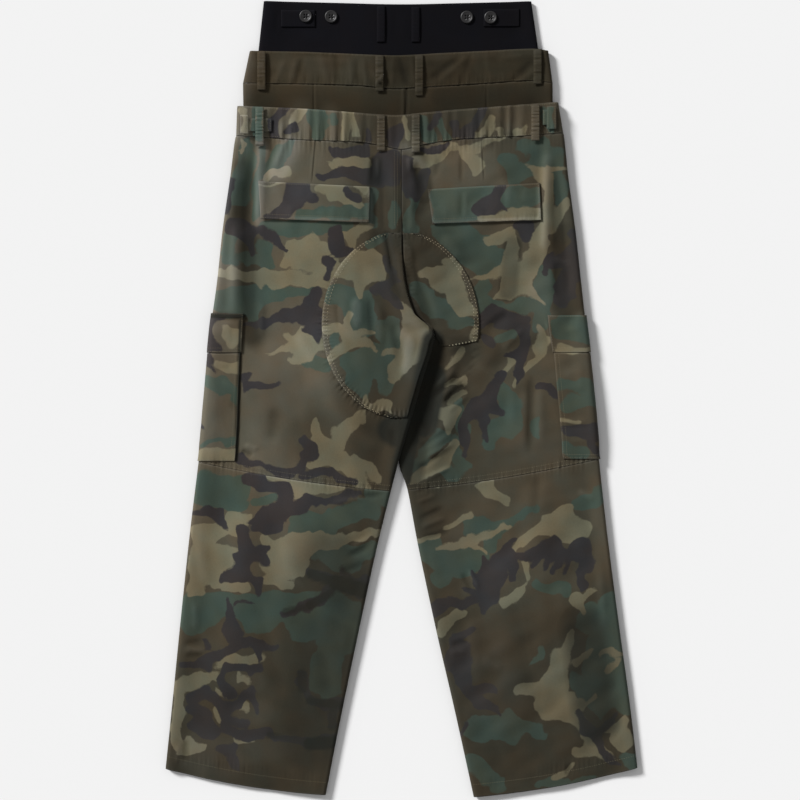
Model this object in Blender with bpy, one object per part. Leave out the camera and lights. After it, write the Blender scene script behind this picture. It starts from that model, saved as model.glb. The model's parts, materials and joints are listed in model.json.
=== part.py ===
"""Cargo trousers with three stacked waists, laid flat on their front with the back showing.

The trousers are three layers of cloth at the waist: a black inner pair, an olive middle pair and
the camouflage outer pair that carries the legs.  Every sewn piece is its own closed cloth wall.
Lengths below are millimetres, turned to metres when a mesh is made.  +X is the right of the back
view, +Y points from the hems to the waist, +Z up from the surface that the trousers lie on.
"""
import bpy
import numpy as np

MM = 0.001

# ---- driving dimensions --------------------------------------------------------------------
CLOTH = 1.2            # wall of a single layer of twill
SEAM_GAP = 0.3         # parting between neighbouring sewn pieces
REST_SPOTS = ((0.0, 0.0), (4.5, 0.0), (-4.5, 0.0), (0.0, 4.5), (0.0, -4.5))
LAY_GAP = 0.5          # parting between a piece and the panel that it lies on
BEAD = 5.0             # half width of the roll where a tube of cloth folds at its side
BEAD_START = -60.0     # degrees, where the roll leaves the front panel
SEAM_DIP = 60.0        # degrees, where a plain seam edge stops short of a full roll
FRONT_INSET = 1.0      # front panels stop this far inside the fold
EDGE_SPREAD = 17.0     # how far the raised side fold fades into the panel
INNER_SPREAD = 24.0    # the same at the inseam
FOLD_FADE = 14.0       # surface folds fade out over this width beside a roll

# ---- the legs: one row for each station from the waist seam to the hem ----------------------
# columns: outseam x, outseam y, inseam x, inseam y, bow of the row, height of the surface at the
# outseam, in the middle and at the inseam, and how far the inseam edge rolls under (0 seam, 1 roll)
LEG_ROWS = {
    "L": (
        (-231.0, 366.8, 0.0, 347.0, 0.0, 13.0, 9.8, 9.8, 0.0),      # waist seam
        (-239.4, 309.4, 0.3, 298.2, 2.0, 12.5, 8.8, 9.5, 0.0),      # high hip
        (-249.9, 236.6, 0.7, 233.8, 1.0, 12.0, 7.6, 10.0, 0.0),     # hip
        (-257.4, 166.6, 4.9, 166.6, 0.0, 12.0, 7.4, 11.5, 0.0),     # seat
        (-264.6, 113.4, 18.9, 119.0, 0.0, 12.0, 7.4, 13.5, 0.0),    # rise
        (-268.4, 75.6, 45.5, 91.0, 0.0, 12.0, 7.4, 15.0, 0.0),      # crotch
        (-272.0, 19.6, 27.3, 19.6, -1.0, 12.0, 7.4, 16.0, 1.0),     # upper thigh
        (-276.5, -36.4, 9.8, -43.4, -3.0, 11.5, 7.4, 14.0, 1.0),    # lower thigh
        (-283.5, -88.2, -14.7, -128.8, -5.0, 11.0, 7.4, 11.5, 1.0),     # knee seam
        (-296.1, -190.4, -35.7, -214.2, -5.0, 10.5, 7.0, 10.5, 1.0),    # upper shin
        (-308.7, -309.4, -62.3, -337.4, -5.0, 10.0, 6.6, 10.0, 1.0),    # shin
        (-319.9, -421.4, -86.1, -452.2, -6.0, 9.5, 6.4, 9.5, 1.0),      # calf
        (-329.7, -516.6, -105.7, -553.2, -6.0, 9.0, 6.2, 9.0, 1.0),     # hem
    ),
    "R": (
        (226.0, 370.4, 0.0, 347.0, 0.0, 13.0, 9.8, 9.8, 0.0),
        (233.1, 309.4, 0.3, 298.2, 2.0, 12.5, 8.8, 9.5, 0.0),
        (242.9, 236.6, 0.7, 233.8, 1.0, 12.0, 7.6, 10.0, 0.0),
        (250.6, 166.6, 4.9, 166.6, 0.0, 12.0, 7.4, 11.5, 0.0),
        (256.4, 113.4, 18.9, 119.0, 0.0, 12.0, 7.4, 13.0, 0.0),
        (260.8, 75.6, 45.5, 91.0, 0.0, 12.0, 7.4, 12.5, 0.0),
        (265.6, 19.6, 29.4, 19.6, -1.0, 12.0, 7.4, 4.8, 0.0),
        (270.6, -36.4, 12.6, -43.4, -3.0, 11.5, 7.4, 4.8, 0.1),
        (275.8, -84.0, 9.1, -127.4, -5.0, 11.0, 7.4, 9.0, 1.0),
        (287.7, -190.4, 23.8, -208.6, -5.0, 10.5, 7.0, 10.0, 1.0),
        (303.1, -309.4, 49.0, -326.2, -5.0, 10.0, 6.6, 10.0, 1.0),
        (318.5, -421.4, 74.9, -438.2, -6.0, 9.5, 6.4, 9.5, 1.0),
        (329.7, -515.2, 100.8, -556.1, -6.0, 9.0, 6.2, 9.0, 1.0),
    ),
}
CROTCH_ROW, KNEE_ROW, HEM_ROW = 5, 8, 12

# largest folds of the outer trousers: ridge or trough (height below 0) along a straight run
# columns: start x, start y, end x, end y, half width, height
FOLDS = (
    (-213.0, 350.0, -204.0, 70.0, 13.0, 2.2),      # soft fold down the left hip
    (204.0, 330.0, 200.0, 100.0, 13.0, 2.2),       # the same on the right hip
    (-35.0, 345.0, -33.0, 195.0, 9.0, -2.6),       # trough left of the back seam
    (-12.0, 345.0, -8.0, 190.0, 8.0, 1.8),         # ridge that the back seam rides on
    (25.0, 335.0, 25.0, 250.0, 9.0, -2.2),         # short trough right of the back seam
    (14.0, 215.0, 55.0, 90.0, 10.0, -4.0),         # drop beside the raised left seat
    (-45.0, 190.0, 20.0, 60.0, 22.0, 3.0),         # fullness of the left seat
    (92.0, 196.0, 110.0, 60.0, 24.0, 2.2),         # fullness of the right seat
    (34.0, -104.0, 78.0, 4.0, 13.0, 3.4),          # drag line up from the right knee
    (60.0, -12.0, 92.0, 22.0, 9.0, -2.4),          # crease beside it
    (78.0, 4.0, 160.0, 110.0, 16.0, 2.6),          # the drag line runs on to the hip
    (-112.0, 60.0, -64.0, -100.0, 20.0, 1.8),      # soft fold of the left thigh
    (176.0, 20.0, 160.0, -84.0, 18.0, 1.6),        # soft fold of the right thigh
    (-214.0, -130.0, -236.0, -430.0, 26.0, 2.2),   # fullness down the left shin
    (-128.0, -160.0, -150.0, -480.0, 22.0, -1.4),
    (176.0, -130.0, 216.0, -430.0, 26.0, 2.2),     # fullness down the right shin
    (92.0, -160.0, 128.0, -450.0, 22.0, -1.4),
)

# ---- the waists ------------------------------------------------------------------------------
# edges read from left to right, columns: x, y
OUTER_TOP = ((-229.5, 408.6), (-144.0, 405.6), (-86.0, 401.5), (-23.0, 396.8), (3.5, 396.6),
             (23.0, 399.0), (68.0, 403.2), (120.0, 407.1), (178.5, 411.6), (219.0, 413.8))
OUTER_SEAM = ((-231.0, 366.8), (-142.0, 361.4), (-58.0, 358.0), (-26.0, 352.6), (0.0, 347.6),
              (30.0, 354.4), (72.0, 361.0), (120.0, 364.0), (176.0, 366.8), (226.0, 370.4))
MIDDLE_TOP = ((-212.0, 485.8), (-135.0, 484.7), (-79.0, 482.3), (-23.0, 480.0), (1.0, 480.0),
              (55.0, 483.0), (120.0, 486.2), (182.0, 489.0), (205.0, 486.4))
MIDDLE_SEAM = ((-221.5, 440.6), (-125.0, 439.3), (-58.0, 437.2), (-16.0, 433.0), (7.0, 433.6),
               (71.0, 437.2), (120.0, 440.4), (177.0, 444.0), (211.0, 441.4))
INNER_TOP = ((-192.5, 556.0), (-100.0, 554.0), (-2.0, 551.8), (90.0, 553.6), (181.5, 555.6))
FRONT_SEAM = ((-231.0, 358.0), (-116.0, 352.5), (0.0, 349.5), (113.0, 353.0), (226.0, 361.0))
MIDDLE_END = 346.0      # the middle layer's back ends here, under the outer waist
MIDDLE_FRONT_END = 391.0
INNER_END = 430.0       # the inner layer ends here, under the middle waist
FRONT_DROP = 9.0        # each waist is this much lower at the front
# side edges of the two inner layers, columns: y, left x, right x
MIDDLE_SIDES = ((346.0, -220.0, 212.0), (404.0, -224.6, 213.6), (414.0, -225.6, 214.8),
                (441.0, -222.0, 211.2), (465.0, -218.6, 208.2), (486.0, -212.2, 205.0))
INNER_SIDES = ((430.0, -206.0, 199.6), (470.0, -206.6, 199.8), (489.0, -205.0, 198.0),
               (520.0, -200.6, 190.6), (542.0, -196.2, 184.6), (556.0, -192.5, 181.5))
# heights of those layers, columns: y, front panel, middle of the back, side fold
MIDDLE_LEVELS = ((346.0, 1.5, 6.4, 9.0), (407.0, 1.5, 6.7, 9.4), (428.0, 0.6, 8.2, 11.2),
                 (450.0, 0.0, 8.2, 11.2), (490.0, 0.0, 8.2, 11.2))
INNER_LEVELS = ((430.0, 2.2, 5.2, 7.6), (450.0, 1.9, 5.2, 7.6), (478.0, 1.5, 5.2, 7.6),
                (515.0, 0.0, 4.8, 7.4), (560.0, 0.0, 4.8, 7.4))
GATHER_COUNT = 8        # ruffles of the outer waistband on each side of the centre back
GATHER_STEPS = 4        # columns to each ruffle
GATHER_SPAN = (38.0, 182.0)
GATHER_HEIGHT = 1.1
OUTER_BAND_LEVEL = 10.5     # top of the outer waistband, and of its side fold
OUTER_BAND_SIDE = 13.6

# belt loops, columns: x, top y, bottom y
LOOP_WIDTH = 11.5
OUTER_LOOPS = ((-197.7, 407.2, 352.5), (-28.5, 396.6, 346.0), (20.0, 398.0, 343.6),
               (186.6, 411.4, 360.0))
MIDDLE_LOOPS = ((-195.3, 485.0, 431.0), (-30.6, 479.8, 429.2), (24.6, 480.6, 423.0),
                (189.7, 488.0, 439.0))
INNER_LOOPS = ((-28.7, 549.0, 498.6), (19.7, 547.6, 498.6))
LOOP_RISE = 2.6

# side adjusters on the outer waistband, columns: near-side x, far-end x, top y, bottom y
SIDE_TABS = {"L": (-223.0, -181.0, 391.0, 373.0), "R": (214.0, 197.0, 403.0, 382.0)}
SIDE_KEEPERS = {"L": (-224.5, -213.5, 395.4, 369.4), "R": (215.6, 202.4, 408.0, 376.0)}
# button tabs inside the black waist, columns: left x, right x, top y, bottom y
INNER_TABS = {"L": (-168.3, -121.0, 543.4, 520.0), "R": (114.7, 164.5, 544.9, 520.6)}
BUTTON_RADIUS = 8.8
BUTTON_HEIGHT = 2.6
INNER_BUTTONS = ((-133.8, 534.6, 1), (-98.4, 534.4, 0), (91.3, 533.6, 0), (124.3, 532.8, 1))

# ---- pieces laid on the legs -------------------------------------------------------------------
# seat patch, an oval cut by the back seam and the left inseam
PATCH_CENTRE = (-1.4, 103.6)
PATCH_HALF = (110.0, 130.0)
PATCH_GAP = 1.2
PATCH_END = {"L": -26.0, "R": 34.0}
PATCH_FOLD = ((110.0, 76.0), (58.0, 24.0))     # a fold of the right thigh hides its far corner
# back pocket flaps, corners from top left round by the right
BACK_FLAPS = {"L": ((-199.6, 303.6), (-43.6, 296.2), (-45.4, 246.0), (-196.4, 251.6)),
              "R": ((36.4, 292.6), (192.6, 301.6), (194.6, 249.6), (43.4, 244.4))}
# cargo pockets wrap the outseam, columns: y, width on the back, width under the front, fullness
CARGO_BODY = {"L": ((64.0, 44.0, 50.0, 0.6), (20.0, 45.0, 51.0, 2.8), (-40.0, 48.0, 52.0, 3.4),
                    (-86.4, 50.0, 52.0, 0.6)),
              "R": ((64.6, 49.0, 50.0, 0.6), (20.0, 49.0, 51.0, 2.8), (-40.0, 49.0, 52.0, 3.4),
                    (-83.6, 50.0, 52.0, 0.6))}
CARGO_FLAP = {"L": ((111.0, 44.0, 50.0, 0.2), (64.6, 46.0, 51.0, 1.4)),
              "R": ((117.0, 52.0, 50.0, 0.2), (65.2, 51.0, 51.0, 1.4))}
CARGO_LIFT = 2.2        # the front panel lies this high over the pocket's front half
FLY_WIDTH = 40.0
FLY_LENGTH = 165.0
FLY_TOP = 344.0
FLY_LIFT = 1.6
FRONT_BUTTON = (2.0, 369.0)

CLOTH_COLOURS = {
    "outer_cloth": ((0.125, 0.115, 0.075), 0.86),
    "middle_cloth": ((0.045, 0.034, 0.020), 0.88),
    "inner_cloth": ((0.008, 0.008, 0.012), 0.85),
    "button_horn": ((0.012, 0.011, 0.011), 0.35),
}


# ---- curves and tables ---------------------------------------------------------------------
def smooth(value, start, end):
    """Ease from 0 at start to 1 at end, flat beyond both."""
    share = np.clip((np.asarray(value, float) - start) / (end - start), 0.0, 1.0)
    return share * share * (3.0 - 2.0 * share)


def row_curve(rows, station):
    """Every column of a table at a fractional row number, on a smooth curve through the rows."""
    table = np.asarray(rows, float)
    last = len(table) - 1
    station = np.clip(np.asarray(station, float), 0.0, last)
    low = np.clip(np.floor(station).astype(int), 0, last - 1)
    share = (station - low)[..., None]
    before, after = table[np.clip(low - 1, 0, last)], table[np.clip(low + 2, 0, last)]
    start, end = table[low], table[low + 1]
    start_slope, end_slope = (end - before) * 0.5, (after - start) * 0.5
    return ((2 * share**3 - 3 * share**2 + 1) * start + (share**3 - 2 * share**2 + share) * start_slope
            + (-2 * share**3 + 3 * share**2) * end + (share**3 - share**2) * end_slope)


def column_at(rows, key, column=1):
    """A table's column at a value of its first column, on the same smooth curve."""
    table = np.asarray(rows, float)
    order = np.argsort(table[:, 0])
    table = table[order]
    station = np.interp(key, table[:, 0], np.arange(len(table)))
    return row_curve(table, station)[..., column]


def fold_relief(x, y):
    """Sum of the folds: a bell across each run, fading in and out along it."""
    height = np.zeros(np.broadcast(x, y).shape)
    for x0, y0, x1, y1, width, rise in FOLDS:
        length = np.hypot(x1 - x0, y1 - y0)
        along = ((x - x0) * (x1 - x0) + (y - y0) * (y1 - y0)) / length
        across = ((x - x0) * (y1 - y0) - (y - y0) * (x1 - x0)) / length
        fade = smooth(along, 0.0, 0.3 * length) * (1.0 - smooth(along, 0.7 * length, length))
        height = height + rise * fade * np.exp(-(across / width) ** 2)
    return height


# ---- the shape of a leg's back -----------------------------------------------------------------
def front_level(side, inward, x, y):
    """Underside of a front panel: on the floor, lifted over the cargo pocket and the fly."""
    low, high = CARGO_BODY[side][-1][0], CARGO_FLAP[side][0][0]
    along = smooth(y, low - 26.0, low - 6.0) * (1.0 - smooth(y, high + 6.0, high + 26.0))
    cargo = CARGO_LIFT * along * (1.0 - smooth(inward, 56.0, 82.0))
    fly_end = FLY_TOP - FLY_LENGTH
    fly = FLY_LIFT * smooth(y, fly_end - 30.0, fly_end - 6.0) * (1.0 - smooth(np.abs(x), 28.0, 54.0))
    return np.maximum(cargo, fly)


def waist_drop(x, straight_y, station):
    """Carries the dipping line of the waist seam into the first rows of the panel."""
    return (column_at(OUTER_SEAM, x) - straight_y) * np.clip(1.0 - station, 0.0, 1.0) ** 2


def leg_point(side, station, share):
    """Plan position on a leg's back: a row from outseam (0) to inseam (1), bowed in its middle."""
    row = row_curve(LEG_ROWS[side], station)
    outer, inner = row[..., 0:2], row[..., 2:4]
    plan = outer + share[..., None] * (inner - outer)
    bow = 4.0 * share * (1.0 - share) * row[..., 4]
    plan[..., 1] += bow + waist_drop(plan[..., 0], plan[..., 1], station)
    return plan, np.hypot(*(np.moveaxis(inner - outer, -1, 0))), row


def back_height(side, inward, width, row, plan):
    """Top surface between the rolls: raised at both edges, with the folds laid over it."""
    outer_top, middle, inner_top, roll = (row[..., i] for i in (5, 6, 7, 8))
    to_inner = width - inward
    base = middle + (outer_top - middle) * np.exp(-(np.maximum(inward - BEAD, 0) / EDGE_SPREAD) ** 2)
    base = base + (inner_top - middle) * np.exp(-(np.maximum(to_inner - BEAD, 0) / INNER_SPREAD) ** 2)
    fade_out = smooth(inward, BEAD, BEAD + FOLD_FADE)
    fade_in = smooth(to_inner, BEAD, BEAD + FOLD_FADE)
    fade_in = 1.0 - np.clip(roll, 0.0, 1.0) * (1.0 - fade_in)
    return base + fold_relief(plan[..., 0], plan[..., 1]) * fade_out * fade_in


def leg_back(side, stations, across):
    """Outer surface of a leg's back as a grid.

    Columns run from the front panel round the outseam roll, over the top and down the inseam
    roll.  A roll is a quarter of an ellipse and a bit, so its height and width can differ.
    """
    outer_angles = np.radians(np.array([BEAD_START, -20.0, 15.0, 45.0, 70.0]))
    inner_share = np.array([0.25, 0.5, 0.75, 1.0])
    station = np.asarray(stations, float)[:, None]
    columns = []
    _, width, row = leg_point(side, station, np.zeros_like(station))
    top_start, top_end = BEAD, width - BEAD
    floor = CLOTH + SEAM_GAP
    for angle in outer_angles:
        inward = np.full_like(station, BEAD * (1.0 - np.cos(angle)))
        plan, _, _ = leg_point(side, station, inward / width)
        bottom = floor + front_level(side, inward, plan[..., 0], plan[..., 1])
        rise = (row[..., 5] - bottom) / (1.0 - np.sin(np.radians(BEAD_START)))
        columns.append((plan, row[..., 5] - rise + rise * np.sin(angle)))
    for step in across:
        inward = top_start + step * (top_end - top_start)
        plan, _, _ = leg_point(side, station, inward / width)
        columns.append((plan, back_height(side, inward, width, row, plan)))
    roll = np.clip(row[..., 8], 0.0, 1.0)
    last_angle = np.radians(SEAM_DIP + roll * (BEAD_START - SEAM_DIP))
    widest = np.cos(np.maximum(last_angle, 0.0))
    for share in inner_share:
        angle = np.radians(90.0) + share * (last_angle - np.radians(90.0))
        inward = width - BEAD * (widest - np.cos(angle)) - 0.5 * SEAM_GAP
        plan, _, _ = leg_point(side, station, inward / width)
        edge_top = back_height(side, top_end, width, row, plan)
        bottom = floor + front_level(side, np.full_like(inward, 200.0), plan[..., 0], plan[..., 1])
        rise = (edge_top - bottom) / (1.0 - np.sin(np.radians(BEAD_START)))
        columns.append((plan, edge_top - rise + rise * np.sin(angle)))
    return np.stack([np.concatenate([plan, z[..., None]], -1)[:, 0] for plan, z in columns], axis=1)


def leg_height(side, x, y):
    """Height of a leg's back at a plan position, found by sliding along the rows."""
    x, y = np.broadcast_arrays(np.asarray(x, float), np.asarray(y, float))
    low, high = np.zeros(x.shape), np.full(x.shape, float(HEM_ROW))
    for _ in range(34):
        station = 0.5 * (low + high)
        row = row_curve(LEG_ROWS[side], station)
        share = np.clip((x - row[..., 0]) / (row[..., 2] - row[..., 0]), 0.0, 1.0)
        plan, width, row = leg_point(side, station, share)
        above = plan[..., 1] > y
        low, high = np.where(above, station, low), np.where(above, high, station)
    return back_height(side, np.clip(share * width, BEAD, width - BEAD), width, row, np.stack([x, y], -1))


def resting_height(side, x, y):
    """Height that a piece lying on the leg rests at: the highest of the spots round it."""
    spots = [leg_height(side, x + dx, y + dy) for dx, dy in REST_SPOTS]
    return np.max(spots, axis=0)


# ---- meshes ----------------------------------------------------------------------------------
def grid_normals(grid):
    """Unit normals of a grid that face up on average."""
    normal = np.cross(np.gradient(grid, axis=1), np.gradient(grid, axis=0))
    normal /= np.linalg.norm(normal, axis=-1, keepdims=True)
    return normal if normal[..., 2].sum() > 0 else -normal


def material(name):
    """A Principled material in the named cloth's colour."""
    found = bpy.data.materials.get(name)
    if found:
        return found
    colour, roughness = CLOTH_COLOURS[name]
    made = bpy.data.materials.new(name)
    made.use_nodes = True
    shader = made.node_tree.nodes["Principled BSDF"]
    shader.inputs["Base Color"].default_value = (*colour, 1.0)
    shader.inputs["Roughness"].default_value = roughness
    shader.inputs["Metallic"].default_value = 0.0
    return made


def add_mesh(name, vertices, faces, cloth):
    """Put a finished mesh into the scene as its own object."""
    mesh = bpy.data.meshes.new(name)
    mesh.from_pydata((np.asarray(vertices) * MM).tolist(), [], faces)
    mesh.update()
    mesh.materials.append(material(cloth))
    made = bpy.data.objects.new(name, mesh)
    bpy.context.scene.collection.objects.link(made)
    return made


def sheet_faces(rows, columns, offset, turn):
    """Quads of one side of a sheet, wound one way or the other."""
    faces = []
    for i in range(rows - 1):
        for j in range(columns - 1):
            a = offset + i * columns + j
            quad = (a, a + 1, a + columns + 1, a + columns)
            faces.append(quad[::-1] if turn else quad)
    return faces


def cloth_wall(name, outer, cloth, inner=None, upward=True):
    """Close a cloth wall between an outer surface and the same surface moved in.

    upward says whether the middle column of the outer surface faces up or down.
    """
    normal = np.cross(np.gradient(outer, axis=1), np.gradient(outer, axis=0))
    normal /= np.linalg.norm(normal, axis=-1, keepdims=True)
    rows, columns = outer.shape[:2]
    facing = (normal[:, columns // 2, 2].sum() > 0) == upward
    if inner is None:
        inner = outer - CLOTH * (normal if facing else -normal)
    count = rows * columns
    faces = sheet_faces(rows, columns, 0, not facing) + sheet_faces(rows, columns, count, facing)
    rim = list(range(columns))
    rim += [i * columns + columns - 1 for i in range(1, rows)]
    rim += [(rows - 1) * columns + j for j in range(columns - 2, -1, -1)]
    rim += [i * columns for i in range(rows - 2, 0, -1)]
    for here, there in zip(rim, rim[1:] + rim[:1]):
        side_quad = (there, here, here + count, there + count)
        faces.append(side_quad if facing else side_quad[::-1])
    points = np.concatenate([outer.reshape(-1, 3), inner.reshape(-1, 3)])
    return add_mesh(name, points, faces, cloth)


# ---- legs ------------------------------------------------------------------------------------
ACROSS = (1.0 - np.cos(np.linspace(0.0, np.pi, 12))) * 0.3 + np.linspace(0.0, 1.0, 12) * 0.4
UPPER_STATIONS = np.concatenate([np.linspace(0.0, CROTCH_ROW, 13), np.linspace(CROTCH_ROW, KNEE_ROW, 9)[1:]])
LOWER_STATIONS = np.linspace(KNEE_ROW, HEM_ROW, 12)
FRONT_STATIONS = np.concatenate([UPPER_STATIONS, LOWER_STATIONS[1:]])
FRONT_SHARES = np.array([0.0, 0.12, 0.22, 0.31, 0.76, 0.88, 1.0])


def make_legs():
    """Back panels above and below the knee seam, and one front panel a side."""
    row_length = 100.0
    trim = SEAM_GAP / row_length
    for side in ("L", "R"):
        upper = UPPER_STATIONS.copy()
        upper[-1] -= trim
        cloth_wall("back_thigh_" + side, leg_back(side, upper, ACROSS), "outer_cloth")
        cloth_wall("back_shin_" + side, leg_back(side, LOWER_STATIONS, ACROSS), "outer_cloth")
        stations = FRONT_STATIONS[:, None]
        _, width, row = leg_point(side, stations, np.zeros_like(stations))
        roll = np.clip(row[..., 8] + (stations > CROTCH_ROW), 0.0, 1.0)
        edge, _, _ = leg_point(side, stations, np.zeros_like(stations))
        lifted = front_level(side, 0.0, edge[..., 0], edge[..., 1]) / CARGO_LIFT
        start = FRONT_INSET + 3.4 * lifted
        end = width - 0.5 * SEAM_GAP - roll * FRONT_INSET
        to_waist = np.clip(1.0 - stations, 0.0, 1.0) ** 2
        columns = []
        for share in FRONT_SHARES:
            inward = start + share * (end - start)
            plan, _, _ = leg_point(side, stations, inward / width)
            across = plan[..., 0]
            plan[..., 1] += to_waist * (column_at(FRONT_SEAM, across) - column_at(OUTER_SEAM, across))
            level = front_level(side, inward, across, plan[..., 1])
            columns.append(np.concatenate([plan, level[..., None]], -1)[:, 0])
        bottom = np.stack(columns, axis=1)
        cloth_wall("front_" + side, bottom, "outer_cloth", inner=bottom + [0, 0, CLOTH], upward=False)


# ---- waists ------------------------------------------------------------------------------------
def band_grid(top, bottom, levels, rows, steps, relief=None):
    """Back of a waist layer: a tube's upper half from one side fold to the other.

    top and bottom are plan edges, each a function from the share across (0 left, 1 right) to a
    plan point; levels gives front, middle and side heights at a y; steps places the columns
    between the two side rolls.
    """
    angles = np.radians(np.array([BEAD_START, -20.0, 15.0, 45.0, 70.0]))
    ends = np.array([0.0, 1.0])
    lines = []
    for down in rows:
        left, right = top(ends) + down * (bottom(ends) - top(ends))
        inset = BEAD / (right[0] - left[0])
        shares = inset + steps * (1.0 - 2.0 * inset)
        plan = top(shares) + down * (bottom(shares) - top(shares))
        front, middle, side = levels(0.5 * (left[1] + right[1]))
        rise = (side - front - CLOTH - SEAM_GAP) / (1.0 - np.sin(angles[0]))
        edge = np.minimum(plan[:, 0] - left[0], right[0] - plan[:, 0])
        height = middle + (side - middle) * np.exp(-((edge - BEAD) / EDGE_SPREAD) ** 2)
        if relief is not None:
            height = height + relief(plan[:, 0], down)
        start = [(left[0] + BEAD * (1 - np.cos(a)), left[1], side - rise + rise * np.sin(a)) for a in angles]
        end = [(right[0] - BEAD * (1 - np.cos(a)), right[1], side - rise + rise * np.sin(a))
               for a in angles[::-1]]
        lines.append(np.concatenate([start, np.column_stack([plan, height]), end]))
    return np.stack(lines)


def edge_line(table, shift=0.0):
    """A plan edge as a function of the share across."""
    table = np.asarray(table, float)

    def at(share):
        x = table[0, 0] + share * (table[-1, 0] - table[0, 0])
        return np.column_stack([x, column_at(table, x) + shift])
    return at


def level_line(sides, y):
    """A straight plan edge across a layer at height y, between its side edges."""
    def at(share):
        left, right = column_at(sides, y, 1), column_at(sides, y, 2)
        return np.column_stack([left + share * (right - left), np.full_like(share, y)])
    return at


def levels_from(table):
    """Front, middle and side heights at a y, read from a table."""
    def at(y):
        return [float(np.interp(y, [r[0] for r in table], [r[i] for r in table])) for i in (1, 2, 3)]
    return at


def gather_relief(x, down):
    """Ruffles of the outer waistband: a wave that opens from the seam towards the top."""
    near, far = GATHER_SPAN
    across = np.clip((np.abs(x) - near) / (far - near), 0.0, 1.0)
    uneven = across + 0.018 * np.sin(across * 23.0 + np.sign(x))
    strength = smooth(across, 0.0, 0.08) * (1.0 - smooth(across, 0.92, 1.0))
    return GATHER_HEIGHT * (0.55 + 0.45 * down) * strength * np.sin(2 * np.pi * GATHER_COUNT * uneven)


def flat_front(name, cloth, top, bottom, level, shares, rows, dome=None):
    """Front of a waist layer: a flat wall a little inside the side folds."""
    lines = []
    for down in rows:
        plan = top(shares) + down * (bottom(shares) - top(shares))
        plan[:, 0] += FRONT_INSET * (1.0 - 2.0 * shares)
        height = np.array([level(y) for y in plan[:, 1]])
        if dome is not None:
            height = height + dome(plan[:, 0], plan[:, 1])
        lines.append(np.column_stack([plan, height]))
    grid = np.stack(lines)
    return cloth_wall(name, grid, cloth, inner=grid + [0, 0, CLOTH], upward=False)


def front_button_dome(x, y):
    """The front waistband rises over its button, which lies under it on the floor."""
    away = np.hypot(x - FRONT_BUTTON[0], y - FRONT_BUTTON[1])
    return (BUTTON_HEIGHT + 0.6) * (1.0 - smooth(away, BUTTON_RADIUS + 2.0, BUTTON_RADIUS + 15.0))


def gather_columns(left, right):
    """Shares across the waistband: close together over the ruffles, wide apart between them."""
    near, far = GATHER_SPAN
    ruffled = np.linspace(near, far, GATHER_COUNT * GATHER_STEPS + 1)
    middle = near * np.array([-0.67, -0.33, 0.0, 0.33, 0.67])
    first, last = left + BEAD, right - BEAD
    places = np.concatenate([[first, 0.5 * (first - far)], -ruffled[::-1], middle, ruffled,
                             [0.5 * (far + last), last]])
    return (places - places[0]) / (places[-1] - places[0])


def make_outer_waist():
    """Gathered back waistband and plain front waistband of the camouflage trousers."""
    def levels(_y):
        return 0.0, OUTER_BAND_LEVEL, OUTER_BAND_SIDE
    grid = band_grid(edge_line(OUTER_TOP), edge_line(OUTER_SEAM, LAY_GAP), levels,
                     np.array([0.0, 0.45, 1.0]), gather_columns(-230.0, 222.0), gather_relief)
    cloth_wall("outer_waistband_back", grid, "outer_cloth")
    near_button = 0.5 + np.array([-24.0, -16.0, -10.0, -4.0, 3.0, 9.0, 15.0, 22.0, 29.0]) / 455.0
    shares = np.concatenate([[0.0, 0.1, 0.2, 0.3, 0.4], near_button, [0.62, 0.72, 0.82, 0.91, 1.0]])
    flat_front("outer_waistband_front", "outer_cloth", edge_line(OUTER_TOP, -FRONT_DROP),
               edge_line(FRONT_SEAM, LAY_GAP + SEAM_GAP), lambda _y: 0.0, shares,
               (0.0, 0.28, 0.42, 0.6, 0.75, 0.9, 1.0), front_button_dome)
    round_button("front_button", FRONT_BUTTON, 0.0)


def make_inner_waists():
    """The olive waistband and hip below it, and the black innermost layer."""
    olive, black = levels_from(MIDDLE_LEVELS), levels_from(INNER_LEVELS)

    def raised(y):
        front, middle, side = olive(y)
        return front, middle + 0.6, side + 0.4
    steps = np.linspace(0.0, 1.0, 17)
    ends = np.linspace(0.0, 1.0, 9)
    grid = band_grid(edge_line(MIDDLE_TOP), edge_line(MIDDLE_SEAM, LAY_GAP), raised,
                     np.linspace(0.0, 1.0, 3), steps)
    cloth_wall("middle_waistband_back", grid, "middle_cloth")
    grid = band_grid(edge_line(MIDDLE_SEAM), level_line(MIDDLE_SIDES, MIDDLE_END), olive,
                     np.linspace(0.0, 1.0, 6), steps)
    cloth_wall("middle_back", grid, "middle_cloth")
    flat_front("middle_front", "middle_cloth", edge_line(MIDDLE_TOP, -FRONT_DROP),
               level_line(MIDDLE_SIDES, MIDDLE_FRONT_END), lambda y: olive(y)[0], ends, ends[::2])
    grid = band_grid(edge_line(INNER_TOP), level_line(INNER_SIDES, INNER_END), black,
                     np.linspace(0.0, 1.0, 8), steps)
    cloth_wall("inner_back", grid, "inner_cloth")
    flat_front("inner_front", "inner_cloth", edge_line(INNER_TOP, -FRONT_DROP),
               level_line(INNER_SIDES, INNER_END), lambda y: black(y)[0], ends, ends)


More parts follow.
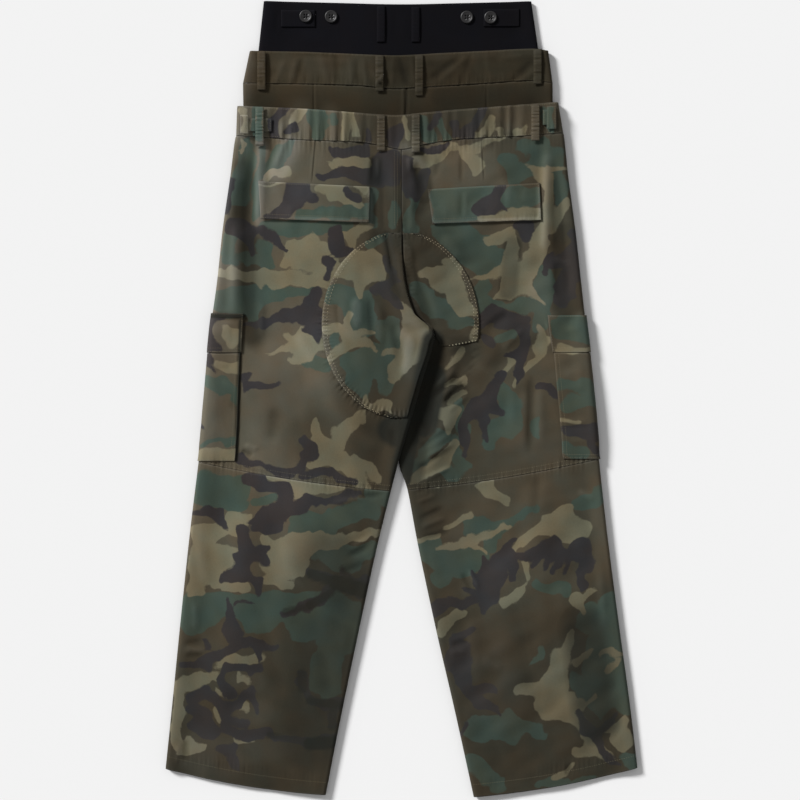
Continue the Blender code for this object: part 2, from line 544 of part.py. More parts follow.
# ---- heights that the small pieces lie on --------------------------------------------------------
def outer_band_height(x, y):
    """Top of the outer waistband, gathers included, and of the panels below it."""
    seam = column_at(OUTER_SEAM, x)
    top = column_at(OUTER_TOP, x)
    down = np.clip((top - y) / (top - seam), 0.0, 1.0)
    left = OUTER_TOP[0][0] + down * (OUTER_SEAM[0][0] - OUTER_TOP[0][0])
    right = OUTER_TOP[-1][0] + down * (OUTER_SEAM[-1][0] - OUTER_TOP[-1][0])
    edge = np.minimum(x - left, right - x)
    middle, side = OUTER_BAND_LEVEL, OUTER_BAND_SIDE
    band = middle + (side - middle) * np.exp(-(np.maximum(edge - BEAD, 0) / EDGE_SPREAD) ** 2)
    band = band + np.maximum(gather_relief(x, down), 0.0)
    panel = np.where(x < 0.0, leg_height("L", x, y), leg_height("R", x, y))
    return np.where(y > seam - 3.0, np.maximum(band, panel), panel)


def layer_height(sides, levels):
    """Top of one of the inner layers at a plan position."""
    table = levels_from(levels)

    def at(x, y):
        left, right = column_at(sides, y, 1), column_at(sides, y, 2)
        edge = np.minimum(x - left, right - x)
        _, middle, side = np.vectorize(lambda v: tuple(table(v)))(y)
        return middle + (side - middle) * np.exp(-(np.maximum(edge - BEAD, 0) / EDGE_SPREAD) ** 2)
    return at


def laid_grid(corners, rows, columns, height):
    """A four-cornered piece on a surface: bilinear in plan, at the surface's height."""
    top_left, top_right, low_right, low_left = (np.asarray(c, float) for c in corners)
    down = np.linspace(0.0, 1.0, rows)[:, None, None]
    across = np.linspace(0.0, 1.0, columns)[None, :, None]
    plan = ((1 - down) * ((1 - across) * top_left + across * top_right)
            + down * ((1 - across) * low_left + across * low_right))
    return np.concatenate([plan, height(plan[..., 0], plan[..., 1])[..., None]], -1)


def belt_loop(name, cloth, spot, height, lift=0.0):
    """A strip stitched down at both ends and standing a little off the band between them."""
    x, top, bottom = spot
    half = 0.5 * LOOP_WIDTH
    corners = ((x - half, top), (x + half, top), (x + half, bottom), (x - half, bottom))
    grid = laid_grid(corners, 8, 3, height)
    grid[..., 2] = grid[..., 2].max(axis=1, keepdims=True)
    down = np.linspace(0.0, 1.0, 8)[:, None]
    grid[..., 2] += LAY_GAP + CLOTH + lift + LOOP_RISE * np.sin(np.pi * down) ** 0.8
    return cloth_wall(name, grid, cloth)


def round_button(name, spot, base):
    """A four-hole button: a dished disc with a raised rim, turned as one closed body."""
    rim_steps = 16
    holes, hole_sides = 4, 6
    hole_radius, hole_ring = 1.1, 2.3
    outline = ((BUTTON_RADIUS - 0.8, 0.0), (BUTTON_RADIUS, 0.7), (BUTTON_RADIUS, 1.7),
               (BUTTON_RADIUS - 0.9, BUTTON_HEIGHT), (BUTTON_RADIUS - 2.4, 2.2))
    rings = []
    for radius, z in outline:
        turn = 2 * np.pi * np.arange(rim_steps) / rim_steps
        rings.append(np.column_stack([spot[0] + radius * np.cos(turn), spot[1] + radius * np.sin(turn),
                                      np.full(rim_steps, base + z)]))
    vertices = np.concatenate(rings)
    faces = []
    for k in range(len(outline) - 1):
        for j in range(rim_steps):
            a, b = k * rim_steps + j, k * rim_steps + (j + 1) % rim_steps
            faces.append((a, b, b + rim_steps, a + rim_steps))
    faces.append(tuple(range(rim_steps - 1, -1, -1)))
    faces.append(tuple((len(outline) - 1) * rim_steps + j for j in range(rim_steps)))
    button = add_mesh(name, vertices, faces, "button_horn")
    cutters = []
    for k in range(holes):
        angle = np.pi / 4 + k * np.pi / 2
        turn = 2 * np.pi * np.arange(hole_sides) / hole_sides
        ring = np.column_stack([spot[0] + hole_ring * np.cos(angle) + hole_radius * np.cos(turn),
                                spot[1] + hole_ring * np.sin(angle) + hole_radius * np.sin(turn)])
        low = np.column_stack([ring, np.full(hole_sides, base - 1.0)])
        high = np.column_stack([ring, np.full(hole_sides, base + BUTTON_HEIGHT + 1.0)])
        following = [(j + 1) % hole_sides for j in range(hole_sides)]
        sides = [(j, k, hole_sides + k, hole_sides + j) for j, k in enumerate(following)]
        caps = [tuple(range(hole_sides - 1, -1, -1)), tuple(range(hole_sides, 2 * hole_sides))]
        cutter = add_mesh("%s_hole_%d" % (name, k), np.concatenate([low, high]), sides + caps, "button_horn")
        cutter.hide_render = True
        cutter.display_type = "WIRE"
        cutters.append(cutter)
        hole = button.modifiers.new("hole_%d" % k, "BOOLEAN")
        hole.operation = "DIFFERENCE"
        hole.object = cutter
        hole.solver = "EXACT"
    return button


# ---- what lies on the waists ------------------------------------------------------------------
def make_waist_trim():
    """Belt loops of all three layers, side adjusters, and the black layer's button tabs."""
    middle_height = layer_height(MIDDLE_SIDES, MIDDLE_LEVELS)
    inner_height = layer_height(INNER_SIDES, INNER_LEVELS)
    for side, (near, far, top, bottom) in SIDE_TABS.items():
        left, right = min(near, far), max(near, far)
        corners = ((left, top), (right, top), (right, bottom), (left, bottom))
        grid = laid_grid(corners, 3, 10, outer_band_height)
        grid[..., 2] += 0.7 + CLOTH
        cloth_wall("side_tab_" + side, grid, "outer_cloth")
    for side, (near, far, top, bottom) in SIDE_KEEPERS.items():
        left, right = min(near, far), max(near, far)
        corners = ((left, top), (right, top), (right, bottom), (left, bottom))
        grid = laid_grid(corners, 5, 3, outer_band_height)
        grid[..., 2] += 0.7 + CLOTH + 0.7 + CLOTH
        cloth_wall("side_keeper_" + side, grid, "outer_cloth")
    for number, spot in enumerate(OUTER_LOOPS, 1):
        over_tab = 1.6 if number in (1, 4) else 0.3
        belt_loop("outer_loop_%d" % number, "outer_cloth", spot, outer_band_height, over_tab)
    for number, spot in enumerate(MIDDLE_LOOPS, 1):
        belt_loop("middle_loop_%d" % number, "middle_cloth", spot, middle_height, 0.8)
    for number, spot in enumerate(INNER_LOOPS, 1):
        belt_loop("inner_loop_%d" % number, "inner_cloth", spot, inner_height, 0.1)
    for side, (left, right, top, bottom) in INNER_TABS.items():
        corners = ((left, top), (right, top), (right, bottom), (left, bottom))
        grid = laid_grid(corners, 4, 7, inner_height)
        grid[..., 2] += 0.8 + CLOTH
        cloth_wall("inner_tab_" + side, grid, "inner_cloth")
    for number, (x, y, on_tab) in enumerate(INNER_BUTTONS, 1):
        around = [inner_height(x + dx, y + dy) for dx in (-9.0, 0.0, 9.0) for dy in (-9.0, 9.0)]
        base = float(max(around)) + SEAM_GAP + on_tab * (0.8 + CLOTH)
        round_button("inner_button_%d" % number, (x, y), base)


# ---- what lies on the legs ------------------------------------------------------------------------
def make_seat_patch():
    """The oval seat patch in two halves that meet along the back seam."""
    for side, sign in (("L", -1.0), ("R", 1.0)):
        centre_y, half_width, half_height = PATCH_CENTRE[1], PATCH_HALF[0], PATCH_HALF[1]
        lines = []
        for y in np.linspace(centre_y + half_height * 0.985, PATCH_END[side], 13):
            oval = half_width * np.sqrt(max(1.0 - ((y - centre_y) / half_height) ** 2, 0.0))
            outer_x = PATCH_CENTRE[0] + sign * oval
            rows = np.asarray(LEG_ROWS[side], float)[:CROTCH_ROW + 4]
            seam_x = column_at(rows[:, [3, 2]], y)
            if side == "R" and y < rows[CROTCH_ROW, 3]:
                seam_x = seam_x + 2.0
            inset = SEAM_GAP + (6.0 if y < rows[CROTCH_ROW, 3] else 1.2)
            inner_x = seam_x + sign * inset
            if side == "R" and y < PATCH_FOLD[0][1]:
                (fold_x, fold_y), (end_x, end_y) = PATCH_FOLD
                outer_x = min(outer_x, fold_x + (y - fold_y) * (end_x - fold_x) / (end_y - fold_y))
            if sign * (outer_x - inner_x) < 6.0:
                outer_x = inner_x + sign * 6.0
            x = outer_x + np.linspace(0.0, 1.0, 9) * (inner_x - outer_x)
            level = np.full_like(x, y)
            lines.append(np.column_stack([x, level, resting_height(side, x, level)]))
        grid = np.stack(lines)
        outer = grid + (PATCH_GAP + CLOTH) * grid_normals(grid)
        cloth_wall("seat_patch_" + side, outer, "outer_cloth")


def make_back_flaps():
    """Two pocket flaps, sewn along the top and standing slightly off at the lower edge."""
    for side, corners in BACK_FLAPS.items():
        grid = laid_grid(corners, 6, 11, lambda x, y, s=side: resting_height(s, x, y))
        down = np.linspace(0.0, 1.0, 6)[:, None]
        grid[..., 2] += 0.7 + CLOTH + 1.2 * down ** 1.5
        cloth_wall("back_flap_" + side, grid, "outer_cloth")


def wrap_grid(side, rows, rest_on, row_count):
    """A piece wrapped round the outseam: under the front, round the fold and over the back."""
    sign = -1.0 if side == "L" else 1.0
    table = np.asarray(rows, float)
    lines = []
    for station in np.linspace(0.0, len(table) - 1.0, row_count):
        y, on_back, under_front, fullness = row_curve(table, station)
        outseam = column_at(np.asarray(LEG_ROWS[side])[:, [1, 0]], y)
        side_top = column_at(np.asarray(LEG_ROWS[side])[:, [1, 5]], y)
        stand = LAY_GAP + rest_on + CLOTH
        inward = np.linspace(under_front, BEAD + 2.0, 4)
        points = [(outseam - sign * q, y, 0.0) for q in inward]
        top = side_top + stand + fullness
        half_height = 0.5 * top
        half_width = BEAD + stand + 0.4 * fullness
        for angle in np.radians(np.array([-62.0, -35.0, -8.0, 20.0, 45.0, 68.0])):
            q = BEAD - half_width * np.cos(angle)
            points.append((outseam - sign * q, y, half_height * (1.0 + np.sin(angle))))
        for share in np.linspace(0.0, 1.0, 6):
            q = BEAD + share * (on_back - BEAD)
            x = outseam - sign * q
            ground = float(leg_height(side, x, y))
            full = fullness * (1.0 - share ** 2)
            points.append((x, y, ground + stand + full))
        lines.append(points)
    return np.array(lines)


def make_cargo_pockets():
    """Pocket bags on both outseams with their flaps above."""
    for side in ("L", "R"):
        cloth_wall("cargo_pocket_" + side, wrap_grid(side, CARGO_BODY[side], 0.2, 10), "outer_cloth")
        cloth_wall("cargo_flap_" + side, wrap_grid(side, CARGO_FLAP[side], 0.4, 5), "outer_cloth")


def make_fly():
    """The fly's outer placket, a strip beside the centre front under the lifted panels."""
    end_y = FLY_TOP - FLY_LENGTH
    lines = []
    for y in np.linspace(FLY_TOP, end_y, 8):
        round_off = FLY_WIDTH * (1.0 - smooth(y, end_y, end_y + 34.0)) * 0.6
        x = np.linspace(-FLY_WIDTH * 0.5 + round_off, FLY_WIDTH * 0.5, 4)
        lines.append(np.column_stack([x, np.full(4, y), np.zeros(4)]))
    grid = np.stack(lines)
    cloth_wall("fly_placket", grid, "outer_cloth", inner=grid + [0, 0, CLOTH], upward=False)


for old in list(bpy.data.objects):
    bpy.data.objects.remove(old, do_unlink=True)
make_legs()
make_outer_waist()
make_inner_waists()
make_waist_trim()
make_seat_patch()
make_back_flaps()
make_cargo_pockets()
make_fly()
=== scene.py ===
"""Looks of the cargo trousers with three stacked waists, laid flat with the back showing.

Every cloth piece is a thin closed shell on the form of its solid.  Lengths are millimetres until a
mesh is made.  +X is the right of the back view, +Y runs from the hems to the waist, +Z is up.
"""
import json

import bpy
import numpy as np
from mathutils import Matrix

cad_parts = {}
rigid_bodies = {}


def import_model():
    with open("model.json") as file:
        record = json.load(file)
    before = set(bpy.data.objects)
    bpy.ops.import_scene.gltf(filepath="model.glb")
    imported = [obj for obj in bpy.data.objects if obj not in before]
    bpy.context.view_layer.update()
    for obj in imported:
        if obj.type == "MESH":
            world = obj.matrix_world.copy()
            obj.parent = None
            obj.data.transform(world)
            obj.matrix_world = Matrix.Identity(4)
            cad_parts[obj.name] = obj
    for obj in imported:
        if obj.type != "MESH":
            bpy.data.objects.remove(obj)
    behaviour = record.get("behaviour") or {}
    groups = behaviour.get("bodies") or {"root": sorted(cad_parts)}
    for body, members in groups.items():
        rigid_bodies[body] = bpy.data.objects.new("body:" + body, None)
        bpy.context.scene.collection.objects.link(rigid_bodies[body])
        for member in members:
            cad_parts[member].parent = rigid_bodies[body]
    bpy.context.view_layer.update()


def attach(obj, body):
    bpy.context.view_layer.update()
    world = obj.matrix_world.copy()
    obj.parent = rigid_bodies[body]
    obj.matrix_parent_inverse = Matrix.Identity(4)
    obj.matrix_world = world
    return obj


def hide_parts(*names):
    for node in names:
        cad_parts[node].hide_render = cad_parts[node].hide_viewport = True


for left_over in list(bpy.data.objects):
    bpy.data.objects.remove(left_over, do_unlink=True)
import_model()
MM = 0.001


# ---- studio -------------------------------------------------------------------------------------
# A pale table seen from straight above.  A broad soft light comes in low from the upper left, and
# the white room fills the shadows.
VIEW_WIDTH, CAMERA_HEIGHT = 1.12, 3.0
VIEW_CENTRE = (-0.0021, -0.0014)
SENSOR = 36.0
LIGHT_FROM, LIGHT_RISE, LIGHT_BREADTH = 142.0, 29.0, 14.0     # degrees: bearing, height, width
LIGHT_POWER, ROOM_LIGHT = 4.65, 0.4
TABLE_SIZE, TABLE_DROP, TABLE_SHADE = 3.0, 0.0004, 0.8


def placed(name, data):
    """A mesh, camera or lamp as an object of the scene, at the origin."""
    thing = bpy.data.objects.new(name, data)
    bpy.context.scene.collection.objects.link(thing)
    return thing


def new_material(name):
    """A material, its node tree and its shader."""
    made = bpy.data.materials.new(name)
    made.use_nodes = True
    return made, made.node_tree, made.node_tree.nodes["Principled BSDF"]


def studio():
    """Camera, lamp, room light and table."""
    lens = bpy.data.cameras.new("camera")
    lens.sensor_width = SENSOR
    lens.lens = SENSOR * CAMERA_HEIGHT / VIEW_WIDTH
    camera = placed("camera", lens)
    camera.location = (*VIEW_CENTRE, CAMERA_HEIGHT)
    bpy.context.scene.camera = camera
    lamp = bpy.data.lights.new("lamp", "SUN")
    lamp.energy, lamp.angle = LIGHT_POWER, np.radians(LIGHT_BREADTH)
    placed("lamp", lamp).rotation_euler = (np.radians(90.0 - LIGHT_RISE), 0.0, np.radians(LIGHT_FROM + 90.0))
    room = bpy.data.worlds.new("room")
    room.use_nodes = True
    room.node_tree.nodes["Background"].inputs["Color"].default_value = (1.0, 1.0, 1.0, 1.0)
    room.node_tree.nodes["Background"].inputs["Strength"].default_value = ROOM_LIGHT
    bpy.context.scene.world = room
    bpy.context.scene.view_settings.view_transform = "Standard"
    half = TABLE_SIZE
    mesh = bpy.data.meshes.new("table")
    mesh.from_pydata([(-half, -half, -TABLE_DROP), (half, -half, -TABLE_DROP),
                      (half, half, -TABLE_DROP), (-half, half, -TABLE_DROP)], [], [(0, 1, 2, 3)])
    white, _, shader = new_material("table white")
    shader.inputs["Base Color"].default_value = (TABLE_SHADE, TABLE_SHADE, TABLE_SHADE, 1.0)
    shader.inputs["Roughness"].default_value = 0.9
    shader.inputs["Specular IOR Level"].default_value = 0.0
    mesh.materials.append(white)
    placed("table", mesh)


studio()


# ---- camouflage twill ---------------------------------------------------------------------------
# Cotton twill printed with four inks: an olive brown ground, then green, tan and a plum black.
# The print is washed and cloudy over the panels and paler at worn edges; painted highlights lighten
# ridges, and painted shade darkens folds, hollows and each leg away from a lit band.
def srgb(red, green, blue):
    """Linear colour of an ordinary 0 to 255 screen colour."""
    share = np.array([red, green, blue]) / 255.0
    return (*np.where(share <= 0.04045, share / 12.92, ((share + 0.055) / 1.055) ** 2.4).tolist(), 1.0)


def node(tree, kind, wires=(), **settings):
    """Add a shader node or a node group, set its settings, and wire or fill its inputs."""
    made = tree.nodes.new("ShaderNode" + kind)
    for key, value in settings.items():
        setattr(made, key, value)
    for where, value in dict(wires).items():
        if isinstance(value, bpy.types.NodeSocket):
            tree.links.new(value, made.inputs[where])
        else:
            made.inputs[where].default_value = value
    return made


def math(tree, operation, first, second=0.0):
    """One Math node's result."""
    return node(tree, "Math", {0: first, 1: second}, operation=operation).outputs[0]


def mix_colour(tree, share, first, second):
    """Blend of two colours."""
    return node(tree, "Mix", {0: share, 6: first, 7: second}, data_type="RGBA").outputs[2]


def new_group(name, inputs, outputs):
    """A shader node group with its sockets, and its input and output nodes."""
    group = bpy.data.node_groups.new(name, "ShaderNodeTree")
    kinds = {"value": "NodeSocketFloat", "colour": "NodeSocketColor", "vector": "NodeSocketVector"}
    for label, kind in inputs:
        group.interface.new_socket(label, in_out="INPUT", socket_type=kinds[kind])
    for label, kind in outputs:
        group.interface.new_socket(label, in_out="OUTPUT", socket_type=kinds[kind])
    return group, group.nodes.new("NodeGroupInput"), group.nodes.new("NodeGroupOutput")


def twill_group():
    """Weave height: diagonal ribs, each rib broken where the warp crosses the weft."""
    group, into, out = new_group("twill weave", [("Place", "vector"), ("Pitch", "value")],
                                 [("Height", "value"), ("Thread", "value")])
    turns = math(group, "DIVIDE", 2.0 * np.pi, into.outputs["Pitch"])
    ribs = node(group, "VectorMath", {0: into.outputs["Place"], 1: (1.0, 1.0, 0.0)},
                operation="DOT_PRODUCT").outputs["Value"]
    cross = node(group, "VectorMath", {0: into.outputs["Place"], 1: (1.6, -1.6, 0.0)},
                 operation="DOT_PRODUCT").outputs["Value"]
    rib = math(group, "SINE", math(group, "MULTIPLY", ribs, turns))
    thread = math(group, "SINE", math(group, "MULTIPLY", cross, turns))
    height = math(group, "ADD", math(group, "MULTIPLY", rib, 0.35), math(group, "MULTIPLY", thread, 0.15))
    group.links.new(math(group, "ADD", height, 0.5), out.inputs["Height"])
    slub = node(group, "TexNoise", {"Vector": into.outputs["Place"], "Scale": 900.0, "Detail": 2.0})
    group.links.new(slub.outputs["Fac"], out.inputs["Thread"])
    return group


def wash_and_painted_light_group():
    """Wash wear of dyed cloth and painted light: clouds, mottling, painted ridge highlights, pale edges.

    Under painted shade the cloth goes to its shade colour; where it is worn or has a painted
    highlight it is lighter and a little greyer; and the wash leaves warm and cool clouds.
    """
    group, into, out = new_group("washed dye and painted light", [("Colour", "colour"), ("Place", "vector"), ("Wear And Painted Light", "value"),
                                                ("Shade Colour", "colour"), ("Painted Shade", "value"), ("Cloud", "value"),
                                                ("Pale", "value")],
                                 [("Colour", "colour")])
    cloud = node(group, "TexNoise", {"Vector": into.outputs["Place"], "Scale": 9.0, "Detail": 3.0})
    speck = node(group, "TexNoise", {"Vector": into.outputs["Place"], "Scale": 420.0, "Detail": 2.0})
    swing = math(group, "ADD", math(group, "SUBTRACT", cloud.outputs["Fac"], 0.5),
                 math(group, "MULTIPLY", math(group, "SUBTRACT", speck.outputs["Fac"], 0.5), 0.5))
    hue = node(group, "TexNoise", {"Vector": into.outputs["Place"], "Scale": 22.0, "Detail": 3.0})
    warm = node(group, "MapRange", {"Value": hue.outputs["Fac"], "From Min": 0.35, "From Max": 0.65})
    tint = mix_colour(group, warm.outputs["Result"], *HUES)
    # painted light: worn places and painted highlights lighten the cloth, painted hollow shade darkens it
    gain = math(group, "ADD", math(group, "MULTIPLY", swing, into.outputs["Cloud"]),
                math(group, "MULTIPLY", into.outputs["Wear And Painted Light"], into.outputs["Pale"]))
    # painted shade: the cloth turns towards its shade colour
    deep = math(group, "MULTIPLY", into.outputs["Painted Shade"], PAINTED_SHADE_DEPTH)
    shade = mix_colour(group, deep, into.outputs["Colour"], into.outputs["Shade Colour"])
    shade = node(group, "VectorMath", {0: shade, 3: math(group, "ADD", gain, 1.0)}, operation="SCALE")
    shade = node(group, "VectorMath", {0: shade.outputs[0], 1: tint}, operation="MULTIPLY").outputs[0]
    # the palest worn and painted-highlight places turn a little grey
    grey = node(group, "RGBToBW", {"Color": shade}).outputs["Val"]
    shade = mix_colour(group, math(group, "MULTIPLY", into.outputs["Wear And Painted Light"], CHALK), shade, grey)
    group.links.new(shade, out.inputs["Colour"])
    return group


def print_group():
    """Four-ink print: each ink covers where its field, with a fine ragged edge, is below nought."""
    group, into, out = new_group(
        "camouflage print", [("Place", "vector"), ("Green", "value"), ("Tan", "value"), ("Plum", "value"),
                             ("Painted Shade", "value")], [("Colour", "colour")])
    ragged = node(group, "TexNoise", {"Vector": into.outputs["Place"], "Scale": 230.0, "Detail": 3.0})
    edge = math(group, "MULTIPLY", math(group, "SUBTRACT", ragged.outputs["Fac"], 0.5), INK_RAGGED)
    # painted shade turns the ground ink towards its painted-shade tone
    colour = mix_colour(group, into.outputs["Painted Shade"], INKS["ground"], INKS["painted-shade ground"])
    for ink in INK_ORDER:
        field = math(group, "ADD", into.outputs[ink.capitalize()], edge)
        cover = node(group, "MapRange", {"Value": field, "From Min": -INK_SOFT, "From Max": INK_SOFT,
                                         "To Min": 1.0, "To Max": 0.0})
        colour = mix_colour(group, cover.outputs["Result"], colour, INKS[ink])
    group.links.new(colour, out.inputs["Colour"])
    return group


INK_ORDER = ("green", "tan", "plum")       # the order of printing
# the painted-shade ground is the ground ink as the painted shade darkens it
INKS = {"ground": srgb(82, 76, 63), "painted-shade ground": srgb(60, 54, 42), "green": srgb(63, 74, 65),
        "tan": srgb(108, 102, 82), "plum": srgb(50, 47, 48)}
INK_SOFT, INK_RAGGED = 0.6, 2.2     # print units: softness and raggedness of an ink's edge
HUES = (1.06, 0.98, 0.9, 1.0), (0.93, 1.02, 1.06, 1.0)    # the wash leaves warm and cool clouds
TWILL_PITCH = 0.0011   # m from rib to rib
PAINTED_SHADE_DEPTH = 0.4         # how far full painted shade turns the cloth towards its shade colour
CHALK = 0.22           # how far the palest wear and painted highlights turn the cloth grey
TWILL, WASH_AND_PAINTED_LIGHT, PRINT = twill_group(), wash_and_painted_light_group(), print_group()


def cloth_material(name, colour, deep, pitch, rib, roughness, sheen, cloud, pale, printed=False):
    """Woven cloth: dyed or printed colour, washed, with painted light and shade, its weave as a bump and a
    soft sheen.
    """
    made, tree, shader = new_material(name)
    weave = node(tree, "Attribute", attribute_name="weave").outputs["Vector"]
    # attributes: wear with painted highlights and hollow shade, and the painted shade field
    worn, shade_amount = (node(tree, "Attribute", attribute_name=label).outputs["Fac"] for label in ("worn", "painted_shade"))
    place = node(tree, "TexCoord").outputs["Object"]
    if printed:
        fields = {ink.capitalize(): node(tree, "Attribute", attribute_name="ink_" + ink).outputs["Fac"]
                  for ink in INK_ORDER}
        colour = node(tree, "Group", {"Place": place, "Painted Shade": shade_amount, **fields}, node_tree=PRINT).outputs[0]
    painted_shade = node(tree, "Group", {"Colour": colour, "Shade Colour": deep, "Place": place, "Wear And Painted Light": worn, "Painted Shade": shade_amount,
                               "Cloud": cloud, "Pale": pale}, node_tree=WASH_AND_PAINTED_LIGHT)
    threads = node(tree, "Group", {"Place": weave, "Pitch": pitch}, node_tree=TWILL)
    grain = node(tree, "MapRange", {"Value": threads.outputs["Thread"], "To Min": roughness - 0.06,
                                    "To Max": roughness + 0.06})
    bump = node(tree, "Bump", {"Height": threads.outputs["Height"], "Strength": rib, "Distance": 0.0002})
    tree.links.new(painted_shade.outputs["Colour"], shader.inputs["Base Color"])
    tree.links.new(grain.outputs["Result"], shader.inputs["Roughness"])
    tree.links.new(bump.outputs["Normal"], shader.inputs["Normal"])
    shader.inputs["Sheen Weight"].default_value = sheen
    shader.inputs["Sheen Roughness"].default_value = 0.5
    shader.inputs["Specular IOR Level"].default_value = 0.1
    return made


# its second colour is the shade colour that the painted shade turns the print towards
CAMOUFLAGE = cloth_material("camouflage twill", (1.0, 1.0, 1.0, 1.0), srgb(33, 33, 28), TWILL_PITCH, 0.55,
                            0.9, 0.03, 0.34, 0.42, printed=True)
